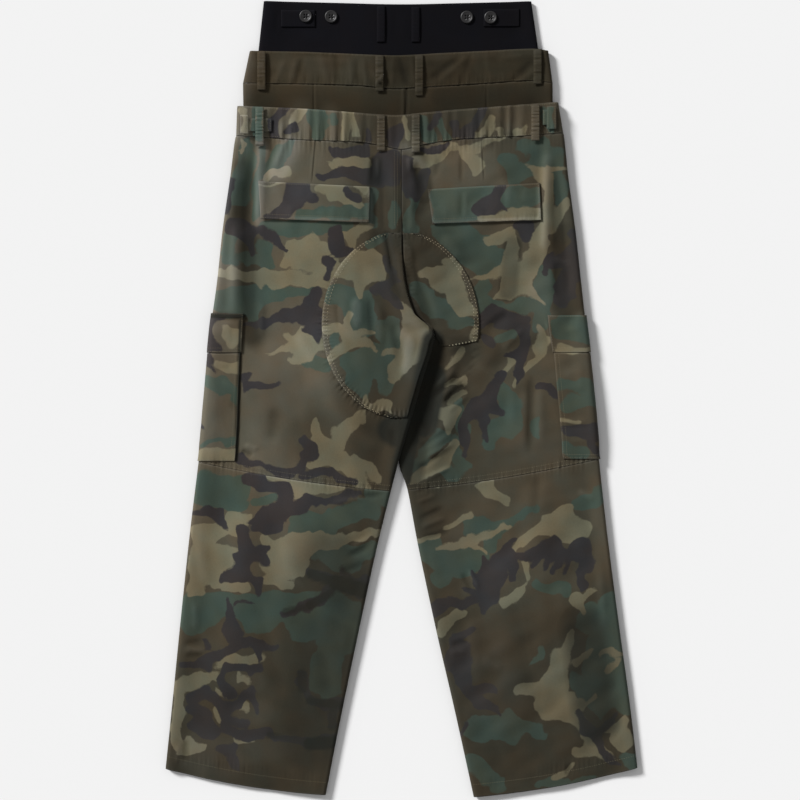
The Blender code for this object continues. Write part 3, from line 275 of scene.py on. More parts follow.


# ---- the print's strokes ------------------------------------------------------------------------
# The roller print is listed stroke by stroke: every blotch is one or more tapered strokes that run together.
# Places are in print units of 1.4 mm, counted right and down from the corner of the cloth.
# chains of strokes: x, y and half width at one end, then the same at each next joint or end
PRINT_UNIT = 1.4
PRINT_CORNER = (401.5, 399.0)
STROKES = {
    ("thigh_L", "green"): (
        (292, 145, 5, 272, 168, 8), (284, 152, 8, 266, 176, 5), (249, 142, 6, 240, 200, 9),
        (232, 232, 9, 230, 262, 6), (246, 258, 8, 276, 266, 3), (262, 246, 6, 270, 262, 6),
        (267, 228, 7, 300, 229, 9, 348, 227, 7), (220, 300, 13, 246, 302, 14), (246, 300, 13, 254, 320, 7),
        (258, 296, 10, 312, 292, 5), (304, 358, 4, 324, 364, 8), (372, 196, 6, 370, 224, 6),
        (395, 205, 4, 392, 226, 4), (262, 150, 4, 256, 212, 5)),
    ("thigh_L", "tan"): (
        (292, 250, 9, 322, 258, 17), (290, 242, 4, 312, 240, 6), (282, 262, 4, 300, 262, 8),
        (222, 273, 5, 262, 278, 8, 332, 281, 8), (332, 262, 8, 340, 276, 5), (345, 240, 5, 367, 226, 5),
        (338, 238, 4, 352, 242, 4), (268, 352, 1.5, 286, 347, 4), (286, 347, 5, 316, 345, 10),
        (284, 337, 1.5, 306, 336, 7), (288, 361, 1.5, 310, 354, 6),
        (362, 412, 3.5, 346, 430, 6, 334, 444, 7), (314, 425, 5, 328, 446, 8), (328, 448, 8, 316, 436, 4),
        (305, 463, 3, 335, 459, 7), (335, 459, 8, 366, 467, 8), (366, 468, 6, 378, 478, 3),
        (352, 470, 4, 364, 486, 7), (330, 164, 3.5, 346, 163, 7, 366, 165, 5), (362, 158, 3, 369, 152, 2),
        (240, 152, 2, 247, 143, 3), (270, 178, 6, 290, 172, 4)),
    ("thigh_L", "plum"): (
        (330, 151, 4, 346, 154, 5), (346, 153, 4, 364, 150, 7), (318, 178, 3, 336, 174, 6),
        (336, 174, 5, 372, 177, 8), (236, 226, 9, 248, 232, 11), (250, 240, 6, 252, 252, 4),
        (262, 228, 5, 272, 240, 5), (272, 240, 6, 285, 251, 2.5), (335, 232, 6, 336, 246, 5),
        (338, 248, 6, 350, 248, 3), (326, 262, 5, 337, 262, 3), (334, 266, 4, 325, 278, 3),
        (320, 294, 7, 307, 306, 9, 318, 320, 10), (314, 328, 8, 318, 336, 5),
        (308, 313, 8, 264, 321, 5, 246, 326, 2), (243, 389, 4, 262, 386, 4, 277, 383, 2),
        (244, 379, 5, 252, 374, 1.5), (304, 440, 4, 312, 450, 8), (312, 452, 8, 304, 459, 5),
        (262, 467, 2, 286, 472, 5, 303, 465, 4), (306, 474, 5, 332, 473, 6, 352, 482, 5),
        (240, 458, 5, 258, 466, 3), (380, 160, 8, 380, 180, 6), (393, 160, 9, 394, 182, 8),
        (396, 430, 7, 400, 444, 6), (232, 180, 4, 226, 212, 5)),
    ("thigh_R", "green"): (
        (506, 160, 7, 516, 182, 7), (521, 150, 6, 542, 146, 9), (520, 172, 10, 550, 162, 12),
        (556, 172, 8, 560, 196, 8), (440, 232, 11, 466, 240, 14), (455, 250, 12, 480, 264, 11),
        (466, 232, 10, 496, 254, 9), (480, 266, 10, 494, 262, 8), (486, 287, 9, 478, 292, 8),
        (476, 302, 8, 500, 307, 5), (500, 340, 6, 512, 335, 6), (545, 272, 7, 541, 322, 10),
        (510, 307, 5, 536, 306, 7), (470, 296, 7, 476, 312, 5), (534, 420, 3, 536, 436, 3),
        (500, 388, 8, 512, 402, 10), (506, 402, 10, 512, 424, 14), (496, 428, 9, 488, 446, 6),
        (456, 400, 5, 462, 428, 7), (440, 436, 9, 424, 452, 7), (412, 398, 4, 424, 426, 7),
        (420, 464, 7, 452, 472, 7), (412, 198, 6, 410, 228, 6), (455, 440, 5, 462, 466, 6)),
    ("thigh_R", "tan"): (
        (422, 163, 4, 442, 152, 6, 457, 145, 4), (410, 166, 4, 424, 164, 3), (466, 148, 5, 479, 147, 5),
        (468, 155, 8, 474, 166, 8), (488, 144, 4, 502, 140, 2), (528, 169, 2, 542, 176, 4),
        (542, 178, 4, 546, 186, 3), (545, 172, 3, 566, 167, 2), (549, 180, 4, 547, 214, 6),
        (547, 214, 7, 541, 242, 7), (566, 204, 5, 549, 222, 8), (549, 222, 7, 534, 254, 10, 521, 286, 8),
        (528, 292, 3.5, 543, 302, 1.5), (521, 286, 8, 508, 291, 9, 490, 302, 2), (514, 240, 5, 508, 282, 9),
        (488, 242, 6, 508, 235, 7), (470, 281, 1.5, 500, 270, 4), (515, 386, 3, 528, 369, 4, 538, 352, 4),
        (536, 347, 4, 549, 342, 3), (446, 366, 2, 461, 351, 3.5), (446, 386, 4, 463, 380, 4),
        (450, 402, 2, 465, 391, 3), (440, 412, 6, 453, 411, 6), (450, 420, 6, 449, 432, 3),
        (454, 446, 4, 440, 462, 6, 420, 479, 4), (410, 480, 3, 425, 477, 3), (538, 330, 3, 542, 345, 3),
        (508, 362, 5, 500, 370, 3)),
    ("thigh_R", "plum"): (
        (424, 152, 4, 442, 147, 3, 452, 143, 1.5), (408, 162, 7, 408, 188, 8), (424, 178, 6, 418, 196, 5),
        (518, 227, 4, 530, 229, 6), (527, 232, 5, 525, 241, 2.5), (500, 318, 8, 520, 320, 10),
        (484, 320, 7, 500, 316, 8), (478, 318, 4, 492, 310, 5), (526, 322, 8, 524, 346, 6, 518, 374, 4),
        (518, 372, 3.5, 517, 387, 1.5), (486, 336, 5, 492, 344, 3), (504, 353, 3, 520, 350, 5),
        (572, 234, 7, 575, 250, 6), (560, 262, 6, 575, 270, 10), (564, 284, 9, 560, 300, 8),
        (568, 252, 7, 570, 292, 9), (552, 254, 4, 547, 270, 4), (502, 378, 6, 488, 391, 8),
        (488, 392, 8, 478, 408, 9), (478, 408, 8, 468, 421, 6), (466, 424, 6, 462, 437, 5),
        (463, 436, 4, 464, 452, 2), (492, 404, 6, 501, 414, 3), (484, 418, 5, 485, 442, 2.5),
        (541, 386, 4, 550, 388, 6), (552, 392, 5, 551, 398, 3), (408, 428, 8, 408, 446, 7),
        (502, 330, 4, 506, 322, 5)),
    ("patch_L", "green"): (
        (371, 240, 6, 382, 236, 5), (334, 294, 10, 354, 300, 11), (352, 302, 10, 356, 326, 8),
        (366, 300, 8, 369, 330, 8), (350, 362, 12, 374, 362, 14), (360, 380, 13, 364, 393, 5),
        (374, 352, 9, 382, 372, 11), (336, 336, 5, 336, 346, 5), (390, 326, 12, 392, 342, 10),
        (386, 366, 11, 388, 386, 8)),
    ("patch_L", "tan"): (
        (350, 262, 14, 374, 262, 12), (345, 274, 8, 378, 274, 8), (362, 284, 7, 362, 294, 3),
        (350, 334, 5, 374, 333, 2.5), (350, 334, 5, 349, 315, 4), (350, 338, 6, 374, 349, 2),
        (350, 334, 6, 330, 328, 6), (345, 344, 5, 330, 359, 3), (400, 302, 4, 410, 318, 7),
        (412, 322, 8, 427, 332, 8), (412, 338, 12, 406, 360, 11), (402, 366, 8, 390, 380, 3),
        (424, 336, 7, 417, 352, 6), (386, 352, 3, 400, 351, 4), (366, 402, 4, 386, 405, 6),
        (386, 408, 5, 391, 415, 2)),
    ("patch_L", "plum"): (
        (386, 258, 3, 391, 272, 5), (391, 274, 5, 394, 280, 3), (376, 289, 3, 394, 284, 5),
        (388, 294, 6, 397, 302, 6)),
    ("patch_R", "green"): (
        (418, 290, 8, 430, 305, 12, 456, 318, 10), (456, 318, 8, 472, 322, 6)),
    ("patch_R", "tan"): (
        (424, 274, 5, 446, 280, 12, 456, 296, 10), (456, 300, 8, 471, 312, 6), (472, 332, 3, 472, 339, 3),
        (450, 262, 5, 458, 268, 5)),
    ("flap_L", "green"): (
        (330, 212, 7, 366, 212, 10), (300, 214, 5, 330, 214, 6)),
    ("flap_L", "tan"): (
        (318, 190, 3.5, 335, 190, 6), (334, 187, 4, 343, 186, 2), (335, 196, 4, 345, 200, 5),
        (345, 202, 3, 364, 206, 1.5), (353, 188, 2, 366, 192, 4), (262, 184, 2, 300, 184, 1.5),
        (358, 200, 3, 366, 203, 2)),
    ("flap_L", "plum"): (
        (306, 189, 7, 296, 192, 9), (296, 194, 10, 288, 208, 9), (282, 212, 7, 268, 218, 4),
        (306, 196, 6, 314, 197, 4), (345, 192, 3, 357, 199, 4)),
    ("flap_R", "green"): (
        (440, 200, 11, 466, 202, 14), (436, 216, 8, 468, 216, 9), (470, 195, 8, 488, 192, 6),
        (508, 194, 8, 536, 196, 9), (500, 206, 6, 530, 202, 6)),
    ("flap_R", "tan"): (
        (482, 221, 2.5, 505, 216, 5), (505, 216, 6, 537, 216, 7), (510, 210, 4, 526, 210, 4)),
    ("flap_R", "plum"): (
        (500, 190, 6, 491, 204, 9), (491, 204, 8, 474, 214, 4), (502, 204, 4, 506, 210, 2)),
    ("band", "green"): (
        (311, 112, 5, 318, 134, 6), (322, 112, 4, 326, 128, 4), (333, 114, 4, 336, 124, 4),
        (424, 118, 5, 428, 138, 6), (440, 122, 4, 447, 139, 6), (546, 110, 5, 550, 134, 5),
        (258, 112, 4, 259, 138, 4)),
    ("band", "tan"): (
        (302, 110, 6, 292, 124, 4), (345, 112, 5, 345, 137, 6), (352, 114, 3, 359, 138, 3),
        (493, 118, 4, 487, 132, 5), (472, 138, 2.5, 486, 133, 3.5), (514, 132, 3, 526, 132, 3),
        (244, 112, 4, 246, 134, 4), (498, 132, 3, 503, 138, 2), (406, 118, 3, 408, 138, 4)),
    ("band", "plum"): (
        (284, 109, 6, 274, 122, 5), (273, 124, 4, 276, 140, 4), (287, 132, 3, 297, 128, 4),
        (366, 136, 4, 368, 148, 5), (396, 130, 6, 396, 142, 7), (442, 113, 3, 431, 130, 2),
        (452, 125, 4, 456, 134, 4), (484, 109, 6, 468, 134, 5), (462, 138, 4, 470, 132, 4)),
    ("cargo_L", "green"): (
        (228, 317, 3, 242, 318, 3), (206, 382, 5, 222, 382, 6), (222, 386, 6, 236, 392, 5),
        (232, 400, 4, 238, 406, 4), (204, 444, 3, 236, 440, 3)),
    ("cargo_L", "tan"): (
        (216, 367, 3, 238, 368, 8), (198, 456, 8, 240, 455, 8), (226, 330, 5, 236, 340, 6)),
    ("cargo_L", "plum"): (
        (212, 316.5, 2, 226, 317.5, 2), (208, 356, 4, 214, 362, 4), (213, 368, 2.5, 217, 374, 2),
        (211, 322, 5, 211, 346, 5), (212, 346, 4, 222, 348, 3), (199, 424, 2, 202, 426, 2)),
    ("cargo_R", "green"): (
        (560, 325, 12, 584, 330, 14), (560, 385, 6, 588, 386, 7), (568, 404, 9, 590, 400, 7),
        (564, 450, 7, 582, 452, 6)),
    ("cargo_R", "tan"): (
        (557, 351, 2.5, 592, 351, 3), (560, 346, 3, 568, 347, 3), (560, 422, 2, 576, 421, 2)),
    ("cargo_R", "plum"): (
        (570, 430, 7, 598, 432, 9), (590, 446, 6, 599, 453, 5)),
    ("shin_L", "green"): (
        (204, 482, 10, 236, 490, 14), (200, 498, 8, 240, 506, 10), (258, 502, 6, 274, 499, 4),
        (296, 522, 8, 334, 522, 10), (334, 520, 10, 368, 508, 11), (288, 530, 3, 330, 532, 5),
        (312, 556, 3, 340, 556, 5), (344, 552, 8, 370, 550, 9), (318, 556, 6, 352, 562, 11),
        (352, 606, 8, 346, 640, 12), (192, 602, 12, 246, 606, 14), (192, 622, 12, 214, 620, 7),
        (270, 606, 18, 340, 604, 14), (300, 622, 17, 348, 622, 15), (328, 646, 14, 330, 690, 13),
        (318, 660, 8, 316, 686, 5), (246, 616, 10, 262, 622, 10), (374, 490, 8, 388, 500, 8)),
    ("shin_L", "tan"): (
        (298, 488, 8, 338, 487, 5), (258, 474, 3, 288, 481, 4), (206, 536, 9, 234, 522, 9),
        (206, 552, 15, 228, 560, 12), (214, 574, 15, 246, 586, 7), (236, 530, 7, 246, 520, 4),
        (197, 530, 5, 197, 590, 6), (268, 541, 6, 302, 546, 11), (274, 560, 12, 298, 566, 12),
        (270, 580, 8, 288, 584, 6), (302, 543, 9, 338, 541, 7), (338, 540, 7, 380, 531, 4),
        (190, 682, 9, 216, 674, 7), (224, 660, 6, 258, 658, 7), (180, 686, 7, 178, 738, 7),
        (216, 691, 3, 230, 697, 2), (236, 674, 2, 250, 678, 2), (240, 708, 2, 250, 707, 2),
        (222, 706, 3, 219, 718, 3), (184, 748, 8, 206, 744, 3), (238, 737, 3, 252, 740, 2)),
    ("shin_L", "plum"): (
        (254, 478, 8, 262, 484, 7), (262, 485, 7, 280, 486, 6), (282, 490, 6, 286, 506, 8),
        (286, 506, 9, 276, 518, 9), (275, 522, 10, 258, 526, 7), (264, 515, 6, 252, 518, 4),
        (290, 508, 8, 312, 502, 6), (312, 502, 5, 346, 497, 3.5, 362, 493, 2), (194, 512, 4, 206, 511, 3),
        (206, 510, 4, 221, 518, 6), (222, 520, 6, 224, 525, 4),
        (244, 530, 6, 246, 546, 6, 243, 560, 9, 244, 572, 8), (252, 553, 7, 266, 550, 6),
        (262, 556, 5, 265, 562, 4), (240, 574, 5, 223, 579, 3), (250, 574, 5, 258, 582, 4),
        (258, 580, 5, 257, 592, 2.5), (307, 570, 3, 320, 576, 4), (320, 577, 5, 342, 582, 6),
        (344, 584, 8, 364, 588, 8), (341, 567, 4, 352, 580, 4), (332, 590, 5, 310, 605, 4),
        (310, 606, 4, 282, 613, 2), (228, 600, 3, 231, 615, 4.5, 234, 632, 7), (238, 605, 2, 252, 602, 1.5),
        (226, 631, 2, 242, 632, 2), (180, 664, 5, 205, 665, 5), (205, 663, 5, 222, 653, 6),
        (222, 651, 6, 240, 642, 6), (240, 644, 6, 262, 648, 6), (262, 648, 5, 274, 645, 2),
        (250, 638, 2, 262, 640, 2), (263, 654, 3, 264, 659, 2), (204, 640, 2, 208, 647, 3),
        (302, 672, 3, 303, 684, 5), (303, 687, 6, 312, 698, 5), (312, 700, 4, 342, 704, 5),
        (334, 704, 4, 332, 724, 4), (221, 677, 4, 230, 667, 4), (230, 667, 3.5, 250, 669, 4.5),
        (250, 668, 4.5, 262, 667, 4.5), (221, 678, 5, 229, 690, 5), (242, 696, 6, 256, 692, 5),
        (240, 698, 6, 236, 706, 5), (255, 696, 4, 258, 712, 2.5), (192, 698, 4, 205, 690, 5),
        (204, 693, 6, 226, 703, 5), (193, 706, 6, 204, 716, 9), (197, 724, 8, 214, 731, 6),
        (204, 722, 8, 206, 728, 7), (228, 706, 5, 227, 726, 5), (234, 720, 3, 248, 722, 3.5),
        (228, 730, 6, 250, 735, 6), (250, 734, 6, 268, 732, 2.5), (222, 748, 4, 233, 745, 4),
        (231, 752, 6, 236, 765, 6), (270, 733, 2, 286, 738, 4), (286, 739, 4, 310, 743, 6, 336, 740, 5)),
    ("shin_R", "green"): (
        (424, 548, 11, 450, 562, 13), (450, 560, 14, 480, 560, 11), (470, 525, 8, 502, 528, 9),
        (490, 540, 10, 500, 530, 6), (438, 576, 8, 462, 570, 8), (578, 504, 6, 600, 499, 7),
        (540, 584, 6, 562, 590, 8), (592, 620, 17, 614, 630, 15), (600, 650, 15, 596, 692, 17),
        (578, 682, 10, 602, 700, 15), (474, 726, 12, 512, 730, 12), (510, 722, 10, 544, 732, 6),
        (470, 762, 9, 500, 784, 9), (632, 762, 8, 622, 752, 4), (528, 668, 0.5, 540, 652, 5),
        (612, 606, 12, 626, 700, 12), (540, 784, 4, 590, 778, 5), (534, 510, 3, 512, 520, 5),
        (596, 492, 8, 606, 488, 8)),
    ("shin_R", "tan"): (
        (480, 486, 3.5, 492, 484, 5), (488, 490, 6, 500, 496, 6), (499, 500, 4, 505, 504, 1.5),
        (410, 484, 3, 446, 485, 2), (438, 549, 2, 470, 541, 5, 509, 525, 2), (470, 544, 4, 487, 550, 1.5),
        (446, 526, 3, 472, 512, 4), (412, 542, 3, 440, 535, 2.5), (522, 541, 4, 546, 526, 9),
        (546, 524, 9, 566, 514, 9), (560, 528, 12, 580, 530, 12), (522, 540, 5, 503, 562, 1.5),
        (524, 560, 4, 528, 576, 4), (503, 602, 6, 520, 594, 6), (518, 592, 5, 525, 584, 2),
        (576, 598, 7, 582, 609, 4), (590, 592, 5, 584, 604, 3), (443, 622, 6, 461, 614, 5),
        (440, 632, 4, 450, 622, 4), (571, 633, 2.5, 562, 650, 7), (560, 655, 9, 556, 682, 9),
        (556, 682, 12, 546, 696, 14), (520, 690, 5, 546, 690, 10), (542, 706, 9, 572, 716, 10),
        (560, 700, 12, 578, 704, 7), (574, 716, 6, 590, 736, 4), (590, 742, 4, 613, 762, 1.5),
        (574, 662, 4, 592, 652, 2), (603, 656, 2.5, 612, 652, 3, 624, 653, 2), (616, 660, 3, 606, 670, 3),
        (604, 729, 5, 622, 722, 7), (622, 736, 9, 616, 746, 5), (575, 753, 5, 596, 746, 6),
        (594, 748, 6, 606, 757, 3), (554, 776, 4, 572, 764, 2), (584, 706, 3, 596, 697, 2)),
    ("shin_R", "plum"): (
        (514, 538, 3, 501, 558, 5), (500, 560, 9, 490, 576, 10), (511, 560, 8, 512, 576, 6),
        (490, 577, 13, 488, 596, 9, 484, 614, 4), (484, 558, 3, 487, 574, 4), (470, 571, 2, 478, 580, 4),
        (476, 600, 4, 450, 604, 3.5), (446, 604, 4, 436, 606, 10), (467, 590, 3, 474, 592, 3),
        (522, 558, 3, 537, 550, 6, 558, 541, 5.5), (558, 540, 5, 565, 549, 3), (540, 552, 4, 529, 566, 2.5),
        (550, 550, 4.5, 541, 569, 3), (558, 550, 4.5, 552, 573, 3), (566, 555, 3.5, 563, 573, 2),
        (566, 553, 4, 576, 557, 5), (573, 551, 6, 584, 548, 7), (586, 553, 7, 588, 563, 6),
        (584, 565, 6, 580, 572, 5), (581, 574, 6, 583, 588, 5.5), (470, 627, 4, 454, 640, 7),
        (462, 650, 11, 455, 660, 11), (455, 662, 12, 465, 680, 9), (465, 682, 8, 480, 700, 6, 494, 709, 4),
        (496, 708, 3, 503, 716, 1.5), (478, 686, 4, 496, 689, 3), (578, 714, 3, 586, 728, 4.5),
        (586, 729, 4.5, 598, 733, 4), (598, 732, 4, 617, 714, 2.5),
        (594, 735, 4, 606, 748, 4.5, 619, 765, 1.5), (465, 725, 3, 462, 734, 3)),
}
INK_MELT = 1.5          # how softly neighbouring strokes run together
NO_INK = 50.0           # an ink field starts this far from any stroke
DRIFT = ((19.0, 2.6), (7.5, 1.1))   # the outline wanders: reach and size of each wave


def drift(x, y, reach, seed):
    """Smooth wander between about -1 and 1: six sine waves with seeded directions and phases."""
    rng = np.random.default_rng(seed)
    total = np.zeros(np.shape(x))
    for _ in range(6):
        turn, phase = rng.uniform(0.0, 2.0 * np.pi, 2)
        speed = rng.uniform(0.7, 1.5) / reach
        total = total + np.sin(2.0 * np.pi * speed * (x * np.cos(turn) + y * np.sin(turn)) * 0.5 + phase)
    return total / 2.6


def stroke_edge(x, y, stroke):
    """Distance from a tapered stroke's edge: x, y and half width at one end, then at the other."""
    x0, y0, start, x1, y1, end = stroke
    length = max((x1 - x0) ** 2 + (y1 - y0) ** 2, 1e-6)
    share = np.clip(((x - x0) * (x1 - x0) + (y - y0) * (y1 - y0)) / length, 0.0, 1.0)
    return np.hypot(x - x0 - share * (x1 - x0), y - y0 - share * (y1 - y0)) - start - share * (end - start)


def ink_field(x, y, chains, seed):
    """Distance to the nearest stroke's edge in print units, below nought inside it.

    A chain is a run of points (x, y, half width), and each two neighbours are the ends of a stroke:
    a capsule whose half width goes evenly from one end to the other.  Strokes join as a soft
    minimum, and the place itself wanders first, so no outline stays even.
    """
    if not chains:
        return np.full(np.shape(x), NO_INK)
    for number, (reach, size) in enumerate(DRIFT):
        x, y = (x + size * drift(x, y, reach, seed + 7 * number),
                y + size * drift(x, y, reach, seed + 31 + 7 * number))
    nearest = np.full(np.shape(x), NO_INK / INK_MELT)
    for chain in chains:
        for start in range(0, len(chain) - 3, 3):
            away = stroke_edge(x, y, chain[start:start + 6])
            nearest = -np.logaddexp(-nearest, -away / INK_MELT)
    return nearest * INK_MELT


def scattered_strokes(seed, spans, count):
    """Strokes for cloth that nobody placed: chains of three in a box, about as dense as the rest."""
    rng = np.random.default_rng(seed)
    (left, right), (top, low) = spans
    strokes = []
    for _ in range(count):
        x, y = rng.uniform(left, right), rng.uniform(top, low)
        turn, size = rng.uniform(0.0, np.pi), rng.uniform(3.0, 8.0)
        for _ in range(3):
            turn += rng.uniform(-1.1, 1.1)
            step, width = rng.uniform(8.0, 20.0), rng.uniform(0.3, 1.0) * size
            strokes.append((x, y, size, x + step * np.cos(turn), y + step * np.sin(turn), width))
            x, y, size = strokes[-1][3], strokes[-1][4], width + 2.0
    return strokes


def print_place(grid):
    """Print units of a cloth grid's points: x to the right and y down from the print's corner."""
    return grid[..., 0] / PRINT_UNIT + PRINT_CORNER[0], PRINT_CORNER[1] - grid[..., 1] / PRINT_UNIT


def inks_at(grid, strokes, seed):
    """The three ink fields over a grid of points; strokes are a name in STROKES or a scatter count."""
    x, y = print_place(grid)
    if isinstance(strokes, str):
        table = {ink: STROKES.get((strokes, ink), ()) for ink in INK_ORDER}
    else:
        spans = ((x.min(), x.max()), (y.min(), y.max()))
        table = {ink: scattered_strokes(seed + k, spans, strokes) for k, ink in enumerate(INK_ORDER)}
    return {ink: ink_field(x, y, table[ink], seed + 3 * k) for k, ink in enumerate(INK_ORDER)}


# ---- leg backs ------------------------------------------------------------------------------------
# Each leg's back is a thigh and a shin panel joined by the knee seam.  The cloth comes round the
# outseam and rolls under at the inseam; the two thighs meet in the felled back seam.
CLOTH = 1.2             # wall of a single layer of twill
HOLLOW_SHADE_SHARE, HOLLOW_SHADE_DEPTH = 0.6, 2.0    # painted shade: broad hollows of this depth darken by this share
SEAM_GAP = 0.3          # between two panels that are sewn together
LAY_GAP = 0.5           # between a layer and what it lies against
BEAD = 5.0              # half width of the roll where a tube of cloth folds at its side
BEAD_START, SEAM_DIP = -60.0, 60.0      # degrees
# how far the height of a rolled edge spreads inward, at the outseam and the inseam, and how far
# from the rolls the creases come in
EDGE_SPREAD, INNER_SPREAD, FOLD_FADE = 17.0, 24.0, 14.0
# columns: outseam x, outseam y, inseam x, inseam y, bow of the row, height at the outseam, in the
# middle and at the inseam, and how far the inseam edge rolls under; rows: waist seam, high hip, hip,
# seat, rise, crotch, upper and lower thigh, under the crotch, knee seam, two of the shin, calf, hem
LEG_ROWS = {
    "L": (
        (-231, 366.8, 0, 347, 0, 13, 9.8, 9.8, 0), (-239.4, 309.4, 0.3, 298.2, 2, 12.5, 8.8, 9.5, 0),
        (-249.9, 236.6, 0.7, 233.8, 1, 12, 7.6, 10, 0), (-257.4, 166.6, 4.9, 166.6, 0, 12, 7.4, 11.5, 0),
        (-264.6, 113.4, 18.9, 119, 0, 12, 7.4, 13.5, 0), (-268.4, 75.6, 45.5, 91, 0, 12, 7.4, 15, 0),
        (-272, 19.6, 27.3, 19.6, -1, 12, 7.4, 16, 1), (-276.5, -36.4, 8.9, -43.4, -3, 11.5, 7.4, 14, 1),
        (-279.4, -60, -4, -88, -4, 11.2, 7.4, 12.5, 1),
        (-283.5, -88.2, -14.7, -128.8, -5, 11, 7.4, 11.5, 1),
        (-296.1, -190.4, -35.7, -214.2, -5, 10.5, 7, 10.5, 1),
        (-308.7, -309.4, -62.3, -337.4, -5, 10, 6.6, 10, 1),
        (-319.9, -421.4, -86.1, -452.2, -6, 9.5, 6.4, 9.5, 1),
        (-329.7, -516.6, -105.7, -553.2, -6, 9, 6.2, 9, 1),
    ),
    "R": (
        (226, 370.4, 0, 347, 0, 13, 9.8, 9.8, 0), (233.1, 309.4, 0.3, 298.2, 2, 12.5, 8.8, 9.5, 0),
        (242.9, 236.6, 0.7, 233.8, 1, 12, 7.6, 10, 0), (250.6, 166.6, 4.9, 166.6, 0, 12, 7.4, 9.5, 0),
        (256.4, 113.4, 18.9, 119, 0, 12, 7.4, 7.6, 0), (260.8, 75.6, 45.5, 91, 0, 12, 7.4, 6.4, 0),
        (265.6, 19.6, 25.6, 19.6, -1, 12, 7.4, 4.8, 0), (270.6, -36.4, 7.2, -43.4, -3, 11.5, 7.4, 4.4, 0.1),
        (273, -58, -3.6, -88, -4, 11.2, 7.4, 5.6, 0.6), (275.8, -84, 8.4, -127.4, -5, 11, 7.4, 8.4, 1),
        (287.7, -190.4, 23.8, -208.6, -5, 10.5, 7, 10, 1), (303.1, -309.4, 49, -326.2, -5, 10, 6.6, 10, 1),
        (318.5, -421.4, 74.9, -438.2, -6, 9.5, 6.4, 9.5, 1),
        (329.7, -515.2, 100.8, -556.1, -6, 9, 6.2, 9, 1),
    ),
}
CROTCH_ROW, KNEE_ROW, HEM_ROW = 5, 9, 13
# folds, columns: start x, start y, end x, end y, half width, height (a trough is below nought)
FOLDS = (
    (-196, 370, -200, 235, 7, 2.4), (-213, 370, -211, 70, 10, -3.2), (-232, 260, -234, 95, 9, 2.2),
    (204, 375, 200, 180, 8, 3), (222, 350, 226, 110, 12, -2.6), (-35, 345, -33, 195, 9, -2.6),
    (-12, 345, -8, 190, 8, 1.8), (25, 335, 25, 250, 9, -2.2), (5, 205, 48, 84, 10, -4),
    (-45, 190, 20, 60, 22, 3), (92, 196, 110, 60, 24, 2.2), (58, 100, 16, -90, 13, -5),
    (80, 74, 50, -30, 8, 1.6), (34, -104, 78, 4, 13, 3.4), (60, -12, 92, 22, 9, -2.4),
    (78, 4, 160, 110, 16, 2.6), (-112, 60, -64, -100, 20, 1.8), (176, 20, 160, -84, 18, 1.6),
    (-214, -130, -236, -430, 26, 2.2), (-128, -160, -150, -480, 22, -1.4), (176, -130, 216, -430, 26, 2.2),
    (92, -160, 128, -450, 22, -1.4),
)
